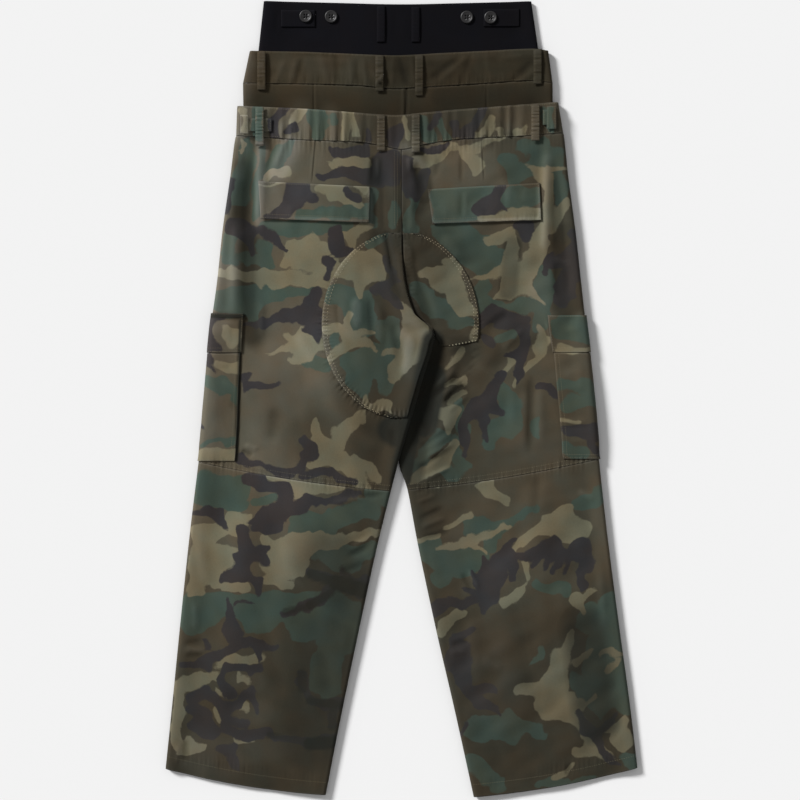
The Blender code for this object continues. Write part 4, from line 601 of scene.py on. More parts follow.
# smaller creases, in print units: start x, start y, end x, end y, half width, then height in mm
CREASES = (
    (274, 142, 268, 176, 3, -0.5), (285, 140, 276, 170, 3, 0.6), (371, 186, 370, 226, 3, 1),
    (378, 186, 381, 232, 3, -1.1), (373, 156, 373, 184, 2.2, -1), (378, 158, 378, 180, 2, 0.6),
    (386, 230, 393, 276, 2.6, -1.5), (396, 246, 403, 300, 3.4, 0.7), (416, 160, 422, 198, 2.8, -1.3),
    (408, 158, 411, 172, 2.4, 1), (412, 196, 411, 236, 4.5, 0.9), (404, 236, 416, 300, 3.5, 0.7),
    (566, 236, 576, 240, 2.5, -0.5), (552, 258, 574, 266, 2.5, 0.5), (556, 262, 558, 300, 3, -0.6),
    (440, 232, 462, 262, 5, 0.5), (430, 152, 470, 142, 3, 0.4), (434, 180, 440, 156, 3, -0.4),
    (461, 150, 461, 186, 2, -0.4), (357, 296, 357, 330, 4, 0.7), (370, 296, 371, 340, 2.5, -0.7),
    (378, 300, 380, 350, 4, 0.6), (336, 300, 338, 330, 3, -0.4), (393, 320, 402, 364, 4, -0.6),
    (413, 330, 405, 380, 5, 0.7), (430, 398, 463, 374, 2.5, -1.2), (426, 392, 458, 368, 2.8, 1),
    (440, 405, 466, 384, 2.4, -1), (446, 412, 470, 392, 2.6, 0.9), (418, 448, 452, 428, 3, -0.8),
    (424, 458, 456, 442, 3, 0.8), (416, 470, 442, 454, 2.4, -0.6), (420, 482, 452, 466, 2.6, 0.7),
    (448, 356, 474, 342, 3.5, -0.5), (500, 352, 526, 326, 3.5, 0.5), (484, 330, 510, 310, 4, -0.6),
    (531, 370, 529, 460, 4, -0.9), (540, 380, 541, 450, 5, 0.6), (512, 380, 512, 430, 6, 0.5),
    (546, 318, 552, 350, 2, 0.6), (276, 404, 271, 446, 6, -0.6), (296, 330, 318, 372, 6, 0.4),
    (262, 300, 262, 340, 3, 0.5), (241, 450, 254, 456, 2.4, -0.7), (244, 444, 260, 450, 2.6, 0.5),
    (344, 424, 382, 452, 8, 0.5), (392, 424, 398, 468, 4, -0.8), (345, 556, 386, 540, 3, -0.8),
    (350, 548, 384, 530, 3, 0.7), (356, 496, 392, 494, 2.6, -0.6), (330, 503, 372, 496, 3, 0.5),
    (338, 572, 374, 560, 3.4, -0.5), (180, 643, 204, 641, 2.4, -0.7), (182, 649, 208, 650, 2.4, 0.7),
    (184, 655, 206, 655, 2.2, -0.6), (186, 738, 187, 762, 3.5, -0.7), (178, 742, 178, 764, 3, 0.5),
    (196, 600, 196, 632, 4, 0.5), (268, 620, 276, 700, 10, -0.5), (318, 640, 326, 700, 8, -0.5),
    (200, 540, 206, 590, 6, 0.4), (412, 522, 446, 506, 2.6, -0.7), (414, 530, 448, 516, 2.8, 0.7),
    (416, 540, 452, 530, 2.6, -0.6), (412, 504, 438, 494, 2.4, 0.5), (410, 494, 430, 488, 2.4, -0.5),
    (468, 568, 480, 590, 2, 0.8), (462, 572, 472, 592, 2.2, -0.8), (426, 586, 440, 600, 3, -0.5),
    (450, 644, 470, 640, 2.6, -0.6), (446, 652, 468, 650, 2.8, 0.5), (480, 660, 504, 668, 5, 0.4),
    (538, 470, 534, 520, 5, -0.4), (576, 490, 596, 500, 3, 0.5), (600, 560, 604, 640, 5, 0.5),
    (520, 620, 530, 700, 9, -0.5), (470, 600, 480, 700, 7, 0.5), (556, 560, 574, 700, 9, 0.4),
    (570, 762, 566, 776, 3, -0.5),
)
WAVES = ((60.0, 0.6), (30.0, 0.38), (15.0, 0.16))   # reach and size of the cloth's own waviness
CREASE_DEPTH, FOLD_DEPTH = 2.5, 1.35     # the laid cloth creases and folds this much deeper
DEEPEST = 3.4           # no trough goes below this
# puckers, columns: reach beside the seam, height; then pitch and weight of the waves along a seam
KNEE_PUCKER, WAIST_PUCKER = (9.0, 0.85), (16.0, 0.45)
BACK_SEAM_PUCKER, HEM_PUCKER = (7.0, 0.5), (9.0, 0.25)
PUCKER_WAVES = ((6.2, 1.9), (8.3, 0.6), (11.7, 0.6), (17.0, 0.7))
OUTER_SEAM = ((-231.0, 366.8), (-142.0, 361.4), (-58.0, 358.0), (-26.0, 352.6), (0.0, 347.6),
              (30.0, 354.4), (72.0, 361.0), (120.0, 364.0), (176.0, 366.8), (226.0, 370.4))
CARGO_LOW, CARGO_HIGH = {"L": -86.4, "R": -83.6}, {"L": 111.0, "R": 117.0}
CARGO_LIFT = 2.2        # the front panel lies this high over the pocket's front half
FLY_WIDTH, FLY_LENGTH, FLY_TOP, FLY_LIFT = 40.0, 165.0, 344.0, 1.6
PATCH_CENTRE, PATCH_HALF = (-1.4, 103.6), (110.0, 130.0)
PATCH_PUCKER = {"L": (6.0, 0.95), "R": (5.5, 0.7)}
DART_SHARE = {"L": 0.48, "R": 0.507}       # where the back dart stands between outseam and seam
DART_LENGTH = 62.0      # from the waist seam down
# painted light down each leg, in print units: a lit band where the painted shade is least, as y, x,
# half width of the band and the share of painted shade left on it
LIT_BANDS = (((0, 285, 60, 0.1), (150, 250, 65, 0.0), (250, 240, 85, 0.0), (350, 236, 72, 0.0),
               (450, 250, 60, 0.0), (520, 240, 60, 0.15), (600, 205, 45, 0.6), (800, 190, 40, 0.95)),
              ((0, 505, 20, 0.9), (110, 500, 50, 0.6), (150, 460, 45, 0.2), (250, 515, 20, 0.5),
               (350, 530, 30, 0.3), (450, 535, 35, 0.6), (500, 545, 55, 0.45), (560, 530, 55, 0.4),
               (620, 500, 40, 0.85), (700, 490, 40, 1.0), (800, 490, 50, 1.0)))
LIT_BAND_FADE = 70.0        # beside its band the cloth goes back to full painted shade over this width
# painted shadows in folds, hollows, crevices and beside raised edges, some laid over the plum print of
# the left shin, in print units: x, y, x, y, half width, fade, amount
PAINTED_SHADOWS = (
    (433, 342, 416, 420, 7, 7, 2.6), (411, 424, 401, 478, 7, 6, 2.8), (388, 250, 388, 410, 8, 26, 1),
    (387, 236, 396, 296, 2, 6, 1.8), (450, 350, 430, 450, 10, 24, 1.2), (568, 236, 566, 304, 9, 10, 1),
    (244, 168, 240, 224, 3, 6, 1), (252, 246, 252, 335, 5, 8, 1), (320, 440, 352, 446, 14, 24, 0.6),
    (284, 400, 318, 430, 14, 20, 0.25), (512, 246, 508, 292, 5, 6, 1.3), (433, 378, 424, 424, 9, 7, 2.8),
    (392, 430, 404, 436, 9, 8, 2.8), (490, 326, 524, 330, 12, 14, 0.7), (570, 400, 582, 450, 12, 16, 0.6),
    (560, 524, 590, 580, 16, 24, 0.6), (320, 466, 336, 486, 12, 16, 0.4), (425, 300, 438, 334, 7, 10, 0.8),
    (512, 205, 530, 226, 14, 12, 0.5), (566, 240, 574, 300, 9, 8, 1), (440, 345, 470, 420, 8, 16, 0.5),
    (330, 560, 352, 600, 15, 26, 1.7), (402, 160, 402, 232, 3, 9, 0.8), (241, 322, 237, 460, 0.5, 1.2, 2.4),
    (376, 164, 374, 182, 4, 5, 1.6), (419, 160, 424, 196, 4, 6, 1.4), (425, 480, 448, 600, 8, 20, 0.8),
    (425, 118, 482, 128, 10, 14, 0.9), (300, 784, 220, 776, 8, 16, 1.2), (332, 640, 312, 740, 16, 26, 1.75),
    (584, 630, 596, 720, 12, 18, 2), (556, 660, 548, 706, 16, 16, 0.9), (470, 330, 486, 350, 8, 14, 0.9),
    (250, 690, 262, 740, 10, 20, 0.8), (440, 98, 540, 95, 5, 9, 1.2), (250, 99, 380, 100, 3, 7, 0.5),
    (500, 390, 520, 440, 12, 26, 0.4), (420, 424, 412, 446, 5, 6, 1.8), (416, 450, 412, 476, 7, 9, 1.8),
    (430, 450, 452, 480, 8, 14, 0.9), (515, 150, 524, 180, 12, 10, 0.7), (312, 574, 330, 580, 4, 3, 2.4),
    (336, 582, 364, 590, 6, 4, 2.6), (342, 568, 352, 580, 2, 3, 2.2), (286, 611, 310, 606, 2, 3, 1.8),
    (310, 605, 332, 592, 3, 3, 2.2), (302, 674, 303, 688, 4, 3, 2.2), (310, 700, 340, 704, 3, 3, 2.4),
    (334, 704, 332, 726, 3, 3, 2.2), (270, 734, 310, 743, 2, 3, 1.8), (310, 743, 338, 741, 5, 3, 2.6),
    (208, 316, 243, 316, 1.4, 1.2, 2.6), (386, 440, 380, 470, 5, 14, 0.6), (340, 520, 372, 512, 8, 16, 0.35),
    (520, 690, 520, 740, 14, 20, 1.2),
)
# painted highlights on lit ridges, edges and patches, with the same columns
PAINTED_HIGHLIGHTS = (
    (290, 146, 277, 172, 5, 8, 1.7), (263, 146, 259, 222, 2, 5, 1.7), (232, 232, 224, 258, 7, 8, 1.1),
    (226, 268, 216, 318, 9, 9, 1.2), (246, 150, 240, 176, 2, 5, 0.9), (268, 196, 278, 214, 8, 9, 1.1),
    (222, 336, 216, 440, 9, 12, 0.5), (300, 350, 286, 380, 22, 24, 0.5), (330, 150, 352, 178, 8, 16, 0.25),
    (262, 352, 262, 440, 6, 16, 0.3), (547, 160, 545, 244, 2, 4, 0.5), (541, 284, 536, 322, 4, 10, 0.8),
    (246, 112, 243, 138, 4, 6, 1), (302, 110, 294, 136, 4, 8, 0.8), (330, 112, 332, 136, 3, 6, 0.6),
    (206, 530, 226, 580, 14, 18, 0.3), (270, 455, 285, 490, 14, 16, 0.4), (468, 556, 476, 586, 16, 20, 0.3),
    (290, 546, 300, 566, 12, 18, 0.45), (480, 648, 492, 696, 12, 20, 0.6), (562, 652, 556, 680, 6, 10, 0.2),
    (416, 336, 406, 366, 5, 10, 0.5), (344, 302, 346, 326, 7, 10, 0.5), (374, 190, 374, 224, 2, 4, 1.2),
    (470, 150, 474, 172, 6, 12, 0.4), (450, 196, 456, 214, 8, 12, 0.3),
    (265, 217.6, 366, 221.2, 0.7, 0.9, 1.2), (434, 222.6, 538, 219, 0.7, 0.9, 1),
    (429.5, 194, 433.5, 221, 0.6, 0.9, 0.8), (537.6, 188, 538.8, 216, 0.6, 0.9, 0.8),
    (302, 192, 276, 214, 7, 5, 0.7), (266, 192, 280, 196, 7, 6, 0.5), (500, 190, 478, 210, 7, 5, 0.5),
    (296, 126, 286, 132, 6, 5, 0.8), (206, 612, 200, 640, 6, 12, 0.3), (186, 690, 178, 740, 4, 8, 0.3),
    (404, 150, 420, 168, 2, 5, 1.2), (240, 680, 256, 682, 6, 5, 0.5), (244, 714, 262, 712, 7, 6, 0.5),
    (246, 751, 286, 745, 7, 7, 0.5), (196, 752, 226, 758, 12, 12, 0.7), (404, 300, 400, 330, 5, 8, 0.3),
    (270, 66, 370, 68, 6, 9, 0.5), (249, 58, 245, 96, 2, 6, 1.2), (228, 180, 222, 226, 5, 8, 0.7),
    (420, 58, 536, 52, 1.5, 3, 0.5), (520, 440, 545, 446, 9, 14, 0.35),
)


def smooth(value, start, end):
    """Ease from 0 at start to 1 at end, flat beyond both."""
    share = np.clip((np.asarray(value, float) - start) / (end - start), 0.0, 1.0)
    return share * share * (3.0 - 2.0 * share)


def row_curve(rows, station):
    """Every column of a table at a fractional row number, on a smooth curve through the rows."""
    table = np.asarray(rows, float)
    last = len(table) - 1
    station = np.clip(np.asarray(station, float), 0.0, last)
    low = np.clip(np.floor(station).astype(int), 0, last - 1)
    share = (station - low)[..., None]
    before, after = table[np.clip(low - 1, 0, last)], table[np.clip(low + 2, 0, last)]
    start, end = table[low], table[low + 1]
    start_slope, end_slope = (end - before) * 0.5, (after - start) * 0.5
    return ((2 * share**3 - 3 * share**2 + 1) * start + (share**3 - 2 * share**2 + share) * start_slope
            + (-2 * share**3 + 3 * share**2) * end + (share**3 - share**2) * end_slope)


def column_at(rows, key, column=1):
    """A table's column at a value of its first column, on the same smooth curve."""
    table = np.asarray(rows, float)
    table = table[np.argsort(table[:, 0])]
    station = np.interp(key, table[:, 0], np.arange(len(table)))
    return row_curve(table, station)[..., column]


def crease_relief(x, y, table):
    """Sum of ridges and troughs: a bell across each run, fading in and out along it."""
    height = np.zeros(np.broadcast(x, y).shape)
    for x0, y0, x1, y1, width, rise in table:
        length = np.hypot(x1 - x0, y1 - y0)
        along = ((x - x0) * (x1 - x0) + (y - y0) * (y1 - y0)) / length
        across = ((x - x0) * (y1 - y0) - (y - y0) * (x1 - x0)) / length
        fade = smooth(along, 0.0, 0.3 * length) * (1.0 - smooth(along, 0.7 * length, length))
        height = height + rise * fade * np.exp(-(across / width) ** 2)
    return height


def print_creases(x, y, table):
    """The same relief from a table in print units, where only the heights are millimetres."""
    rows = np.array(table, float)
    rows[:, 0:4:2] = (rows[:, 0:4:2] - PRINT_CORNER[0]) * PRINT_UNIT
    rows[:, 1:4:2] = -(rows[:, 1:4:2] - PRINT_CORNER[1]) * PRINT_UNIT
    rows[:, 4] *= PRINT_UNIT
    return crease_relief(x, y, rows)


def pucker(away, along, shape, seed):
    """Short ridges across a seam: an uneven wave along it that dies out away from it."""
    reach, size = shape
    rng = np.random.default_rng(seed)
    wave = np.zeros(np.broadcast(away, along).shape)
    for pitch, weight in PUCKER_WAVES:
        phase, bend = rng.uniform(0.0, 2.0 * np.pi, 2)
        wave = wave + weight * np.sin(2.0 * np.pi * along / pitch + phase + 1.2 * np.sin(along / 23.0 + bend))
    strength = 0.65 + 0.35 * np.sin(along / 31.0 + rng.uniform(0.0, 6.0))
    return size * strength * wave * 0.5 * np.exp(-(away / reach) ** 2)


def front_level(side, inward, x, y):
    """Underside of a front panel: on the floor, lifted over the cargo pocket and the fly."""
    low, high = CARGO_LOW[side], CARGO_HIGH[side]
    along = smooth(y, low - 26.0, low - 6.0) * (1.0 - smooth(y, high + 6.0, high + 26.0))
    cargo = CARGO_LIFT * along * (1.0 - smooth(inward, 56.0, 82.0))
    fly_end = FLY_TOP - FLY_LENGTH
    fly = FLY_LIFT * smooth(y, fly_end - 30.0, fly_end - 6.0) * (1.0 - smooth(np.abs(x), 28.0, 54.0))
    return np.maximum(cargo, fly)


def waist_drop(x, straight_y, station):
    """Carries the dipping line of the waist seam into the first rows of the panel."""
    return (column_at(OUTER_SEAM, x) - straight_y) * np.clip(1.0 - station, 0.0, 1.0) ** 2


def leg_point(side, station, share):
    """Plan position on a leg's back: a row from outseam (0) to inseam (1), bowed in its middle."""
    row = row_curve(LEG_ROWS[side], station)
    outer, inner = row[..., 0:2], row[..., 2:4]
    plan = outer + share[..., None] * (inner - outer)
    bow = 4.0 * share * (1.0 - share) * row[..., 4]
    plan[..., 1] += bow + waist_drop(plan[..., 0], plan[..., 1], station)
    return plan, np.hypot(*(np.moveaxis(inner - outer, -1, 0))), row


def knee_line(side, x):
    """Height up the leg of the knee seam at x."""
    knee = LEG_ROWS[side][KNEE_ROW]
    share = np.clip((x - knee[0]) / (knee[2] - knee[0]), 0.0, 1.0)
    return knee[1] + share * (knee[3] - knee[1]) + 4.0 * share * (1.0 - share) * knee[4]


def patch_edge(x, y):
    """Distance inside the seat patch's oval edge, and the place along that edge."""
    dx, dy = x - PATCH_CENTRE[0], y - PATCH_CENTRE[1]
    ring = np.hypot(dx / PATCH_HALF[0], dy / PATCH_HALF[1])
    return np.hypot(dx, dy) * (1.0 / np.maximum(ring, 0.05) - 1.0), 120.0 * np.arctan2(dy, dx)


def cloth_relief(side, x, y, inward, width):
    """Creases, seam puckers, the back dart and the light waviness of washed cloth."""
    relief = FOLD_DEPTH * crease_relief(x, y, FOLDS)
    relief = relief + CREASE_DEPTH * print_creases(x, y, CREASES)
    number = 100 if side == "L" else 200
    to_knee = y - knee_line(side, x)
    knee = pucker(to_knee, x, KNEE_PUCKER, number) * np.where(to_knee > 0, 1.0, 0.45)
    to_waist = column_at(OUTER_SEAM, x) - y
    waist = pucker(to_waist, x, WAIST_PUCKER, number + 1) * smooth(width - inward, 24.0, 60.0)
    inseam = pucker(width - inward, y, BACK_SEAM_PUCKER, number + 2)
    away, along = patch_edge(x, y)
    low_half = 0.45 + 0.55 * smooth(-(y - PATCH_CENTRE[1]), -90.0, -10.0)
    oval = pucker(away, along, PATCH_PUCKER[side], number + 3) * low_half * (y > -34.0)
    row = LEG_ROWS[side][HEM_ROW]
    hem_y = row[1] + (x - row[0]) / (row[2] - row[0]) * (row[3] - row[1])
    hem = pucker(y - hem_y - 18.0, x, HEM_PUCKER, number + 4)
    dart_x = column_at([(r[1], r[0] + DART_SHARE[side] * (r[2] - r[0])) for r in LEG_ROWS[side][:3]], y)
    dart = 1.0 - smooth(to_waist, 0.75 * DART_LENGTH, DART_LENGTH)
    beside = (x - dart_x) / 1.3
    dart = dart * (0.7 * np.exp(-(beside + 1.3) ** 2) - 0.6 * np.exp(-beside ** 2))
    waves = sum(size * drift(x, y, reach, number + 5 + k) for k, (reach, size) in enumerate(WAVES))
    relief = relief + knee + waist + inseam + oval + hem + dart + waves
    return np.where(relief < 0.0, DEEPEST * np.tanh(relief / DEEPEST), relief)


def roll_share(edge, spread):
    """Share of a roll's height at a distance from the layer's edge: 1 on the roll, then a bell."""
    return np.exp(-(np.maximum(edge - BEAD, 0) / spread) ** 2)


def back_height(side, inward, width, row, plan):
    """Top surface between the rolls: raised at both edges, with the relief laid over it."""
    outer_top, middle, inner_top, roll = (row[..., i] for i in (5, 6, 7, 8))
    to_inner = width - inward
    base = middle + (outer_top - middle) * roll_share(inward, EDGE_SPREAD)
    base = base + (inner_top - middle) * roll_share(to_inner, INNER_SPREAD)
    fade_out = smooth(inward, BEAD, BEAD + FOLD_FADE)
    fade_in = smooth(to_inner, BEAD, BEAD + FOLD_FADE)
    fade_in = 1.0 - np.clip(roll, 0.0, 1.0) * (1.0 - fade_in)
    x, y = plan[..., 0], plan[..., 1]
    return base + cloth_relief(side, x, y, inward, width) * fade_out * fade_in


def leg_back(side, stations, across):
    """Outer surface of a leg's back as a grid.

    Columns run from the front panel round the outseam roll, over the top and down the inseam
    roll.  A roll is a quarter of an ellipse and a bit, so its height and width can differ.
    """
    station = np.asarray(stations, float)[:, None]
    columns = []
    _, width, row = leg_point(side, station, np.zeros_like(station))
    top_start, top_end = BEAD, width - BEAD
    floor = CLOTH + SEAM_GAP
    full_rise = 1.0 - np.sin(np.radians(BEAD_START))
    for angle in np.radians(np.linspace(BEAD_START, 78.0, 10)):
        inward = np.full_like(station, BEAD * (1.0 - np.cos(angle)))
        plan, _, _ = leg_point(side, station, inward / width)
        bottom = floor + front_level(side, inward, plan[..., 0], plan[..., 1])
        rise = (row[..., 5] - bottom) / full_rise
        columns.append((plan, row[..., 5] - rise + rise * np.sin(angle)))
    for step in across:
        inward = top_start + step * (top_end - top_start)
        plan, _, _ = leg_point(side, station, inward / width)
        columns.append((plan, back_height(side, inward, width, row, plan)))
    roll = np.clip(row[..., 8], 0.0, 1.0)
    last_angle = np.radians(SEAM_DIP + roll * (BEAD_START - SEAM_DIP))
    widest = np.cos(np.maximum(last_angle, 0.0))
    for share in np.linspace(0.0, 1.0, 9)[1:]:
        angle = np.radians(90.0) + share * (last_angle - np.radians(90.0))
        inward = width - BEAD * (widest - np.cos(angle)) - 0.5 * SEAM_GAP
        plan, _, _ = leg_point(side, station, inward / width)
        edge_top = back_height(side, top_end, width, row, plan)
        bottom = floor + front_level(side, np.full_like(inward, 200.0), plan[..., 0], plan[..., 1])
        rise = (edge_top - bottom) / full_rise
        columns.append((plan, edge_top - rise + rise * np.sin(angle)))
    return np.stack([np.concatenate([plan, z[..., None]], -1)[:, 0] for plan, z in columns], axis=1)


def leg_height(side, x, y):
    """Height of a leg's back at a plan position, found by sliding along the rows."""
    x, y = np.broadcast_arrays(np.asarray(x, float), np.asarray(y, float))
    low, high = np.zeros(x.shape), np.full(x.shape, float(HEM_ROW))
    for _ in range(24):
        station = 0.5 * (low + high)
        row = row_curve(LEG_ROWS[side], station)
        share = np.clip((x - row[..., 0]) / (row[..., 2] - row[..., 0]), 0.0, 1.0)
        plan, width, row = leg_point(side, station, share)
        above = plan[..., 1] > y
        low, high = np.where(above, station, low), np.where(above, high, station)
    return back_height(side, np.clip(share * width, BEAD, width - BEAD), width, row, np.stack([x, y], -1))


def uneven(length, step, zones=()):
    """Places from 0 to 1 along a length: a step apart, and closer together in zones.

    zones has a row for each: place along the length, reach and the step there.
    """
    place = np.linspace(0.0, length, 3000)
    density = np.full_like(place, 1.0 / step)
    for centre, reach, fine in zones:
        density = np.maximum(density, np.exp(-((place - centre) / reach) ** 2) / fine)
    count = np.concatenate([[0.0], np.cumsum(0.5 * (density[1:] + density[:-1]) * np.diff(place))])
    return np.interp(np.linspace(0.0, count[-1], int(round(count[-1])) + 1), count, place) / length


def grid_arcs(grid):
    """Distance along the rows and down the columns of a grid, point to point."""
    across = np.linalg.norm(np.diff(grid, axis=1), axis=-1)
    down = np.linalg.norm(np.diff(grid, axis=0), axis=-1)
    return (np.pad(np.cumsum(across, axis=1), ((0, 0), (1, 0))),
            np.pad(np.cumsum(down, axis=0), ((1, 0), (0, 0))))


def ridge_wear_and_shade(grid, window=5, full=0.9):
    """Wear and painted highlight where the cloth stands above its neighbours, painted shade where it lies
    below them: height less its mean over a window.
    """
    height = grid[..., 2]
    mean = np.pad(height, window, mode="edge")
    for axis in (0, 1):
        mean = sum(np.roll(mean, k, axis=axis) for k in range(-window, window + 1)) / (2 * window + 1)
    mean = mean[window:-window, window:-window]
    return np.clip((height - mean) / full, -1.0, 1.0)


def edge_wear(grid, reach=1.6):
    """Wear beside the four edges of a grid: 1 on the edge, gone a few reaches away."""
    across, down = grid_arcs(grid)
    nearest = np.minimum(np.minimum(across, across[:, -1:] - across), np.minimum(down, down[-1:] - down))
    return np.exp(-(nearest / reach) ** 2)


def sheet_normals(grid):
    """Unit normal of a grid at each point, row direction by column direction."""
    normal = np.cross(np.gradient(grid, axis=1), np.gradient(grid, axis=0))
    return normal / np.maximum(np.linalg.norm(normal, axis=-1, keepdims=True), 1e-9)


def painted_streaks(x, y, table):
    """Strongest of some soft-edged streaks at a place in print units: painted shadows and painted highlights.
    """
    found = np.zeros(np.shape(x))
    for x0, y0, x1, y1, half, fade, amount in table:
        away = np.maximum(stroke_edge(x, y, (x0, y0, half, x1, y1, half)), 0.0)
        found = np.maximum(found, amount * np.exp(-(away / fade) ** 2))
    return found


def painted_shade_at(x, y):
    """Painted shade: least on a lit band down each leg, most under the painted shadows."""
    shade_amount = []
    for line in LIT_BANDS:
        middle, half, least = (column_at(line, y, k) for k in (1, 2, 3))
        shade_amount.append(least + (1.0 - least) * smooth((np.abs(x - middle) - half) / LIT_BAND_FADE, 0.0, 1.0))
    shade_amount = np.clip(np.min(shade_amount, axis=0), 0.0, 1.0)
    return np.maximum(shade_amount, painted_streaks(x, y, PAINTED_SHADOWS))


def cloth_shell(name, outer, cloth, inner=None, upward=True, inks=None, worn=None):
    """Thin closed wall of cloth: the outer grid, the same grid moved in by its thickness, and a rim.

    upward says whether the middle column of the outer grid faces up or down.
    """
    normal = sheet_normals(outer)
    rows, columns = outer.shape[:2]
    facing = (normal[:, columns // 2, 2].sum() > 0) == upward
    if inner is None:
        inner = outer - CLOTH * (normal if facing else -normal)
    count = rows * columns
    place = np.arange(count).reshape(rows, columns)
    quads = np.stack([place[:-1, :-1], place[:-1, 1:], place[1:, 1:], place[1:, :-1]], -1).reshape(-1, 4)
    rim = np.concatenate([place[0], place[1:, -1], place[-1, -2::-1], place[-2:0:-1, 0]])
    ahead = np.roll(rim, -1)
    walls = np.stack([ahead, rim, rim + count, ahead + count], -1)
    if facing:
        faces = np.concatenate([quads, quads[:, ::-1] + count, walls])
    else:
        faces = np.concatenate([quads[:, ::-1], quads + count, walls[:, ::-1]])
    points = np.concatenate([outer.reshape(-1, 3), inner.reshape(-1, 3)]) * MM
    mesh = bpy.data.meshes.new(name)
    mesh.from_pydata(points.tolist(), [], faces.tolist())
    mesh.polygons.foreach_set("use_smooth", np.ones(len(faces), bool))
    across, down = grid_arcs(outer)
    weave = np.stack([across, down, np.zeros_like(across)], -1).reshape(-1, 3) * MM
    threads = mesh.attributes.new("weave", "FLOAT_VECTOR", "POINT")
    threads.data.foreach_set("vector", np.tile(weave, (2, 1)).ravel())
    # wear at the edges, plus painted light: highlights on ridges, shade in broad hollows and highlight
    # streaks
    if worn is None:
        worn = (0.3 * ridge_wear_and_shade(outer) + edge_wear(outer)
                + HOLLOW_SHADE_SHARE * np.minimum(ridge_wear_and_shade(outer, 12, HOLLOW_SHADE_DEPTH), 0.0))
    spot = print_place(outer)
    values = {"worn": np.clip(worn, -1.0, 1.0) + painted_streaks(*spot, PAINTED_HIGHLIGHTS), "painted_shade": painted_shade_at(*spot)}
    for ink, field in (inks or {}).items():
        values["ink_" + ink] = field
    for label, value in values.items():
        mesh.attributes.new(label, "FLOAT", "POINT").data.foreach_set("value", np.tile(value.ravel(), 2))
    mesh.materials.append(cloth)
    mesh.update()
    return placed(name, mesh)


def fit(piece, solid):
    """Let a piece stand for its solid, hiding the solid, and ride on the garment."""
    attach(piece, "root")
    if solid:
        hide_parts(solid)
    return piece


def covering(name, cloth, slot, outer, **look):
    """The cloth of a solid: a shell named after the solid, in its place; the slot is not used."""
    return fit(cloth_shell(name + "_cloth", outer, cloth, **look), name)


def laid_cloth(name, cloth, slot, outer, rests_on=(), **look):
    """A covering that is a laid sheet of its own; gives back its grid."""
    covering(name, cloth, slot, outer, **look)
    return outer


CLOTH_STEP, CROSS_STEP = 2.8, 2.2
LEG_WIDTH, THIGH_LENGTH, SHIN_LENGTH = 268.0, 470.0, 430.0
backs = {}
for side in ("L", "R"):
    dart = (DART_SHARE[side] * LEG_WIDTH, 3.2, 0.9)
    across = uneven(LEG_WIDTH, CROSS_STEP, (dart, (LEG_WIDTH, 9.0, 1.5), (0.0, 5.0, 1.8)))
    thigh = uneven(THIGH_LENGTH, CLOTH_STEP, ((0.0, 9.0, 1.6), (THIGH_LENGTH, 12.0, 1.5))) * KNEE_ROW
    shin = KNEE_ROW + uneven(SHIN_LENGTH, CLOTH_STEP, ((0.0, 6.0, 1.5),)) * (HEM_ROW - KNEE_ROW)
    thigh[-1] -= SEAM_GAP / 100.0
    for name, stations in (("thigh_" + side, thigh), ("shin_" + side, shin)):
        grid = leg_back(side, stations, across)
        inks = inks_at(grid, name, 11 if side == "L" else 23)
        backs[name] = laid_cloth("back_" + name, CAMOUFLAGE, "outer_cloth", grid,
                                 ["front_" + side + "_cloth"], inks=inks)


# ---- leg fronts -----------------------------------------------------------------------------------
# One long front panel a leg, face down on the table and sewn to the back inside both folds.  It
# lies flat, with a few soft creases that lift off the table, over the pocket halves and the fly.
FRONT_SEAM = ((-231.0, 358.0), (-116.0, 352.5), (0.0, 349.5), (113.0, 353.0), (226.0, 361.0))
FRONT_INSET = 1.0
FRONT_CREASES = (       # mm: start x, start y, end x, end y, half width, height
    (-60, 170, -170, 60, 9, 1.4), (-30, 120, -140, 20, 7, 1.1), (-90, -80, -210, -140, 9, 1.3),
    (-80, -150, -190, -120, 6, 0.9), (-150, 300, -140, 170, 8, 1), (-160, -300, -190, -420, 12, 1.2),
    (-120, -450, -220, -400, 7, 0.9), (-210, -220, -130, -260, 8, 0.8), (60, 160, 180, 40, 9, 1.4),
    (40, 110, 130, 10, 7, 1.1), (80, -100, 200, -150, 9, 1.2), (90, -160, 210, -130, 6, 0.9),
    (150, 310, 138, 180, 8, 1), (150, -290, 180, -430, 12, 1.2), (130, -460, 230, -420, 7, 0.8),
    (120, -220, 210, -250, 8, 0.8),
)


def fine_ends(length, step, reach, fine):
    """Uneven places with the same finer zone at both ends."""
    return uneven(length, step, ((0.0, reach, fine), (length, reach, fine)))


for side in ("L", "R"):
    stations = uneven(THIGH_LENGTH + SHIN_LENGTH, 5.5)[:, None] * HEM_ROW
    edge, width, row = leg_point(side, stations, np.zeros_like(stations))
    roll = np.clip(row[..., 8] + (stations > CROTCH_ROW), 0.0, 1.0)
    lifted = front_level(side, 0.0, edge[..., 0], edge[..., 1]) / CARGO_LIFT
    start = FRONT_INSET + 3.4 * lifted
    end = width - 0.5 * SEAM_GAP - roll * FRONT_INSET
    to_waist = np.clip(1.0 - stations, 0.0, 1.0) ** 2
    inward = start + fine_ends(LEG_WIDTH, 5.5, 8.0, 2.5)[None, :] * (end - start)
    plan, _, _ = leg_point(side, np.broadcast_to(stations, inward.shape), inward / width)
    x = plan[..., 0]
    plan[..., 1] += to_waist * (column_at(FRONT_SEAM, x) - column_at(OUTER_SEAM, x))
    inside = smooth(inward - start, 4.0, 26.0) * smooth(end - inward, 4.0, 26.0)
    level = front_level(side, inward, x, plan[..., 1])
    level = level + np.maximum(crease_relief(x, plan[..., 1], FRONT_CREASES), 0.0) * inside
    grid = np.concatenate([plan, level[..., None]], -1)
    laid_cloth("front_" + side, CAMOUFLAGE, "outer_cloth", grid, inner=grid + [0, 0, CLOTH], upward=False,
               inks=inks_at(grid, 46, 300 if side == "L" else 330))


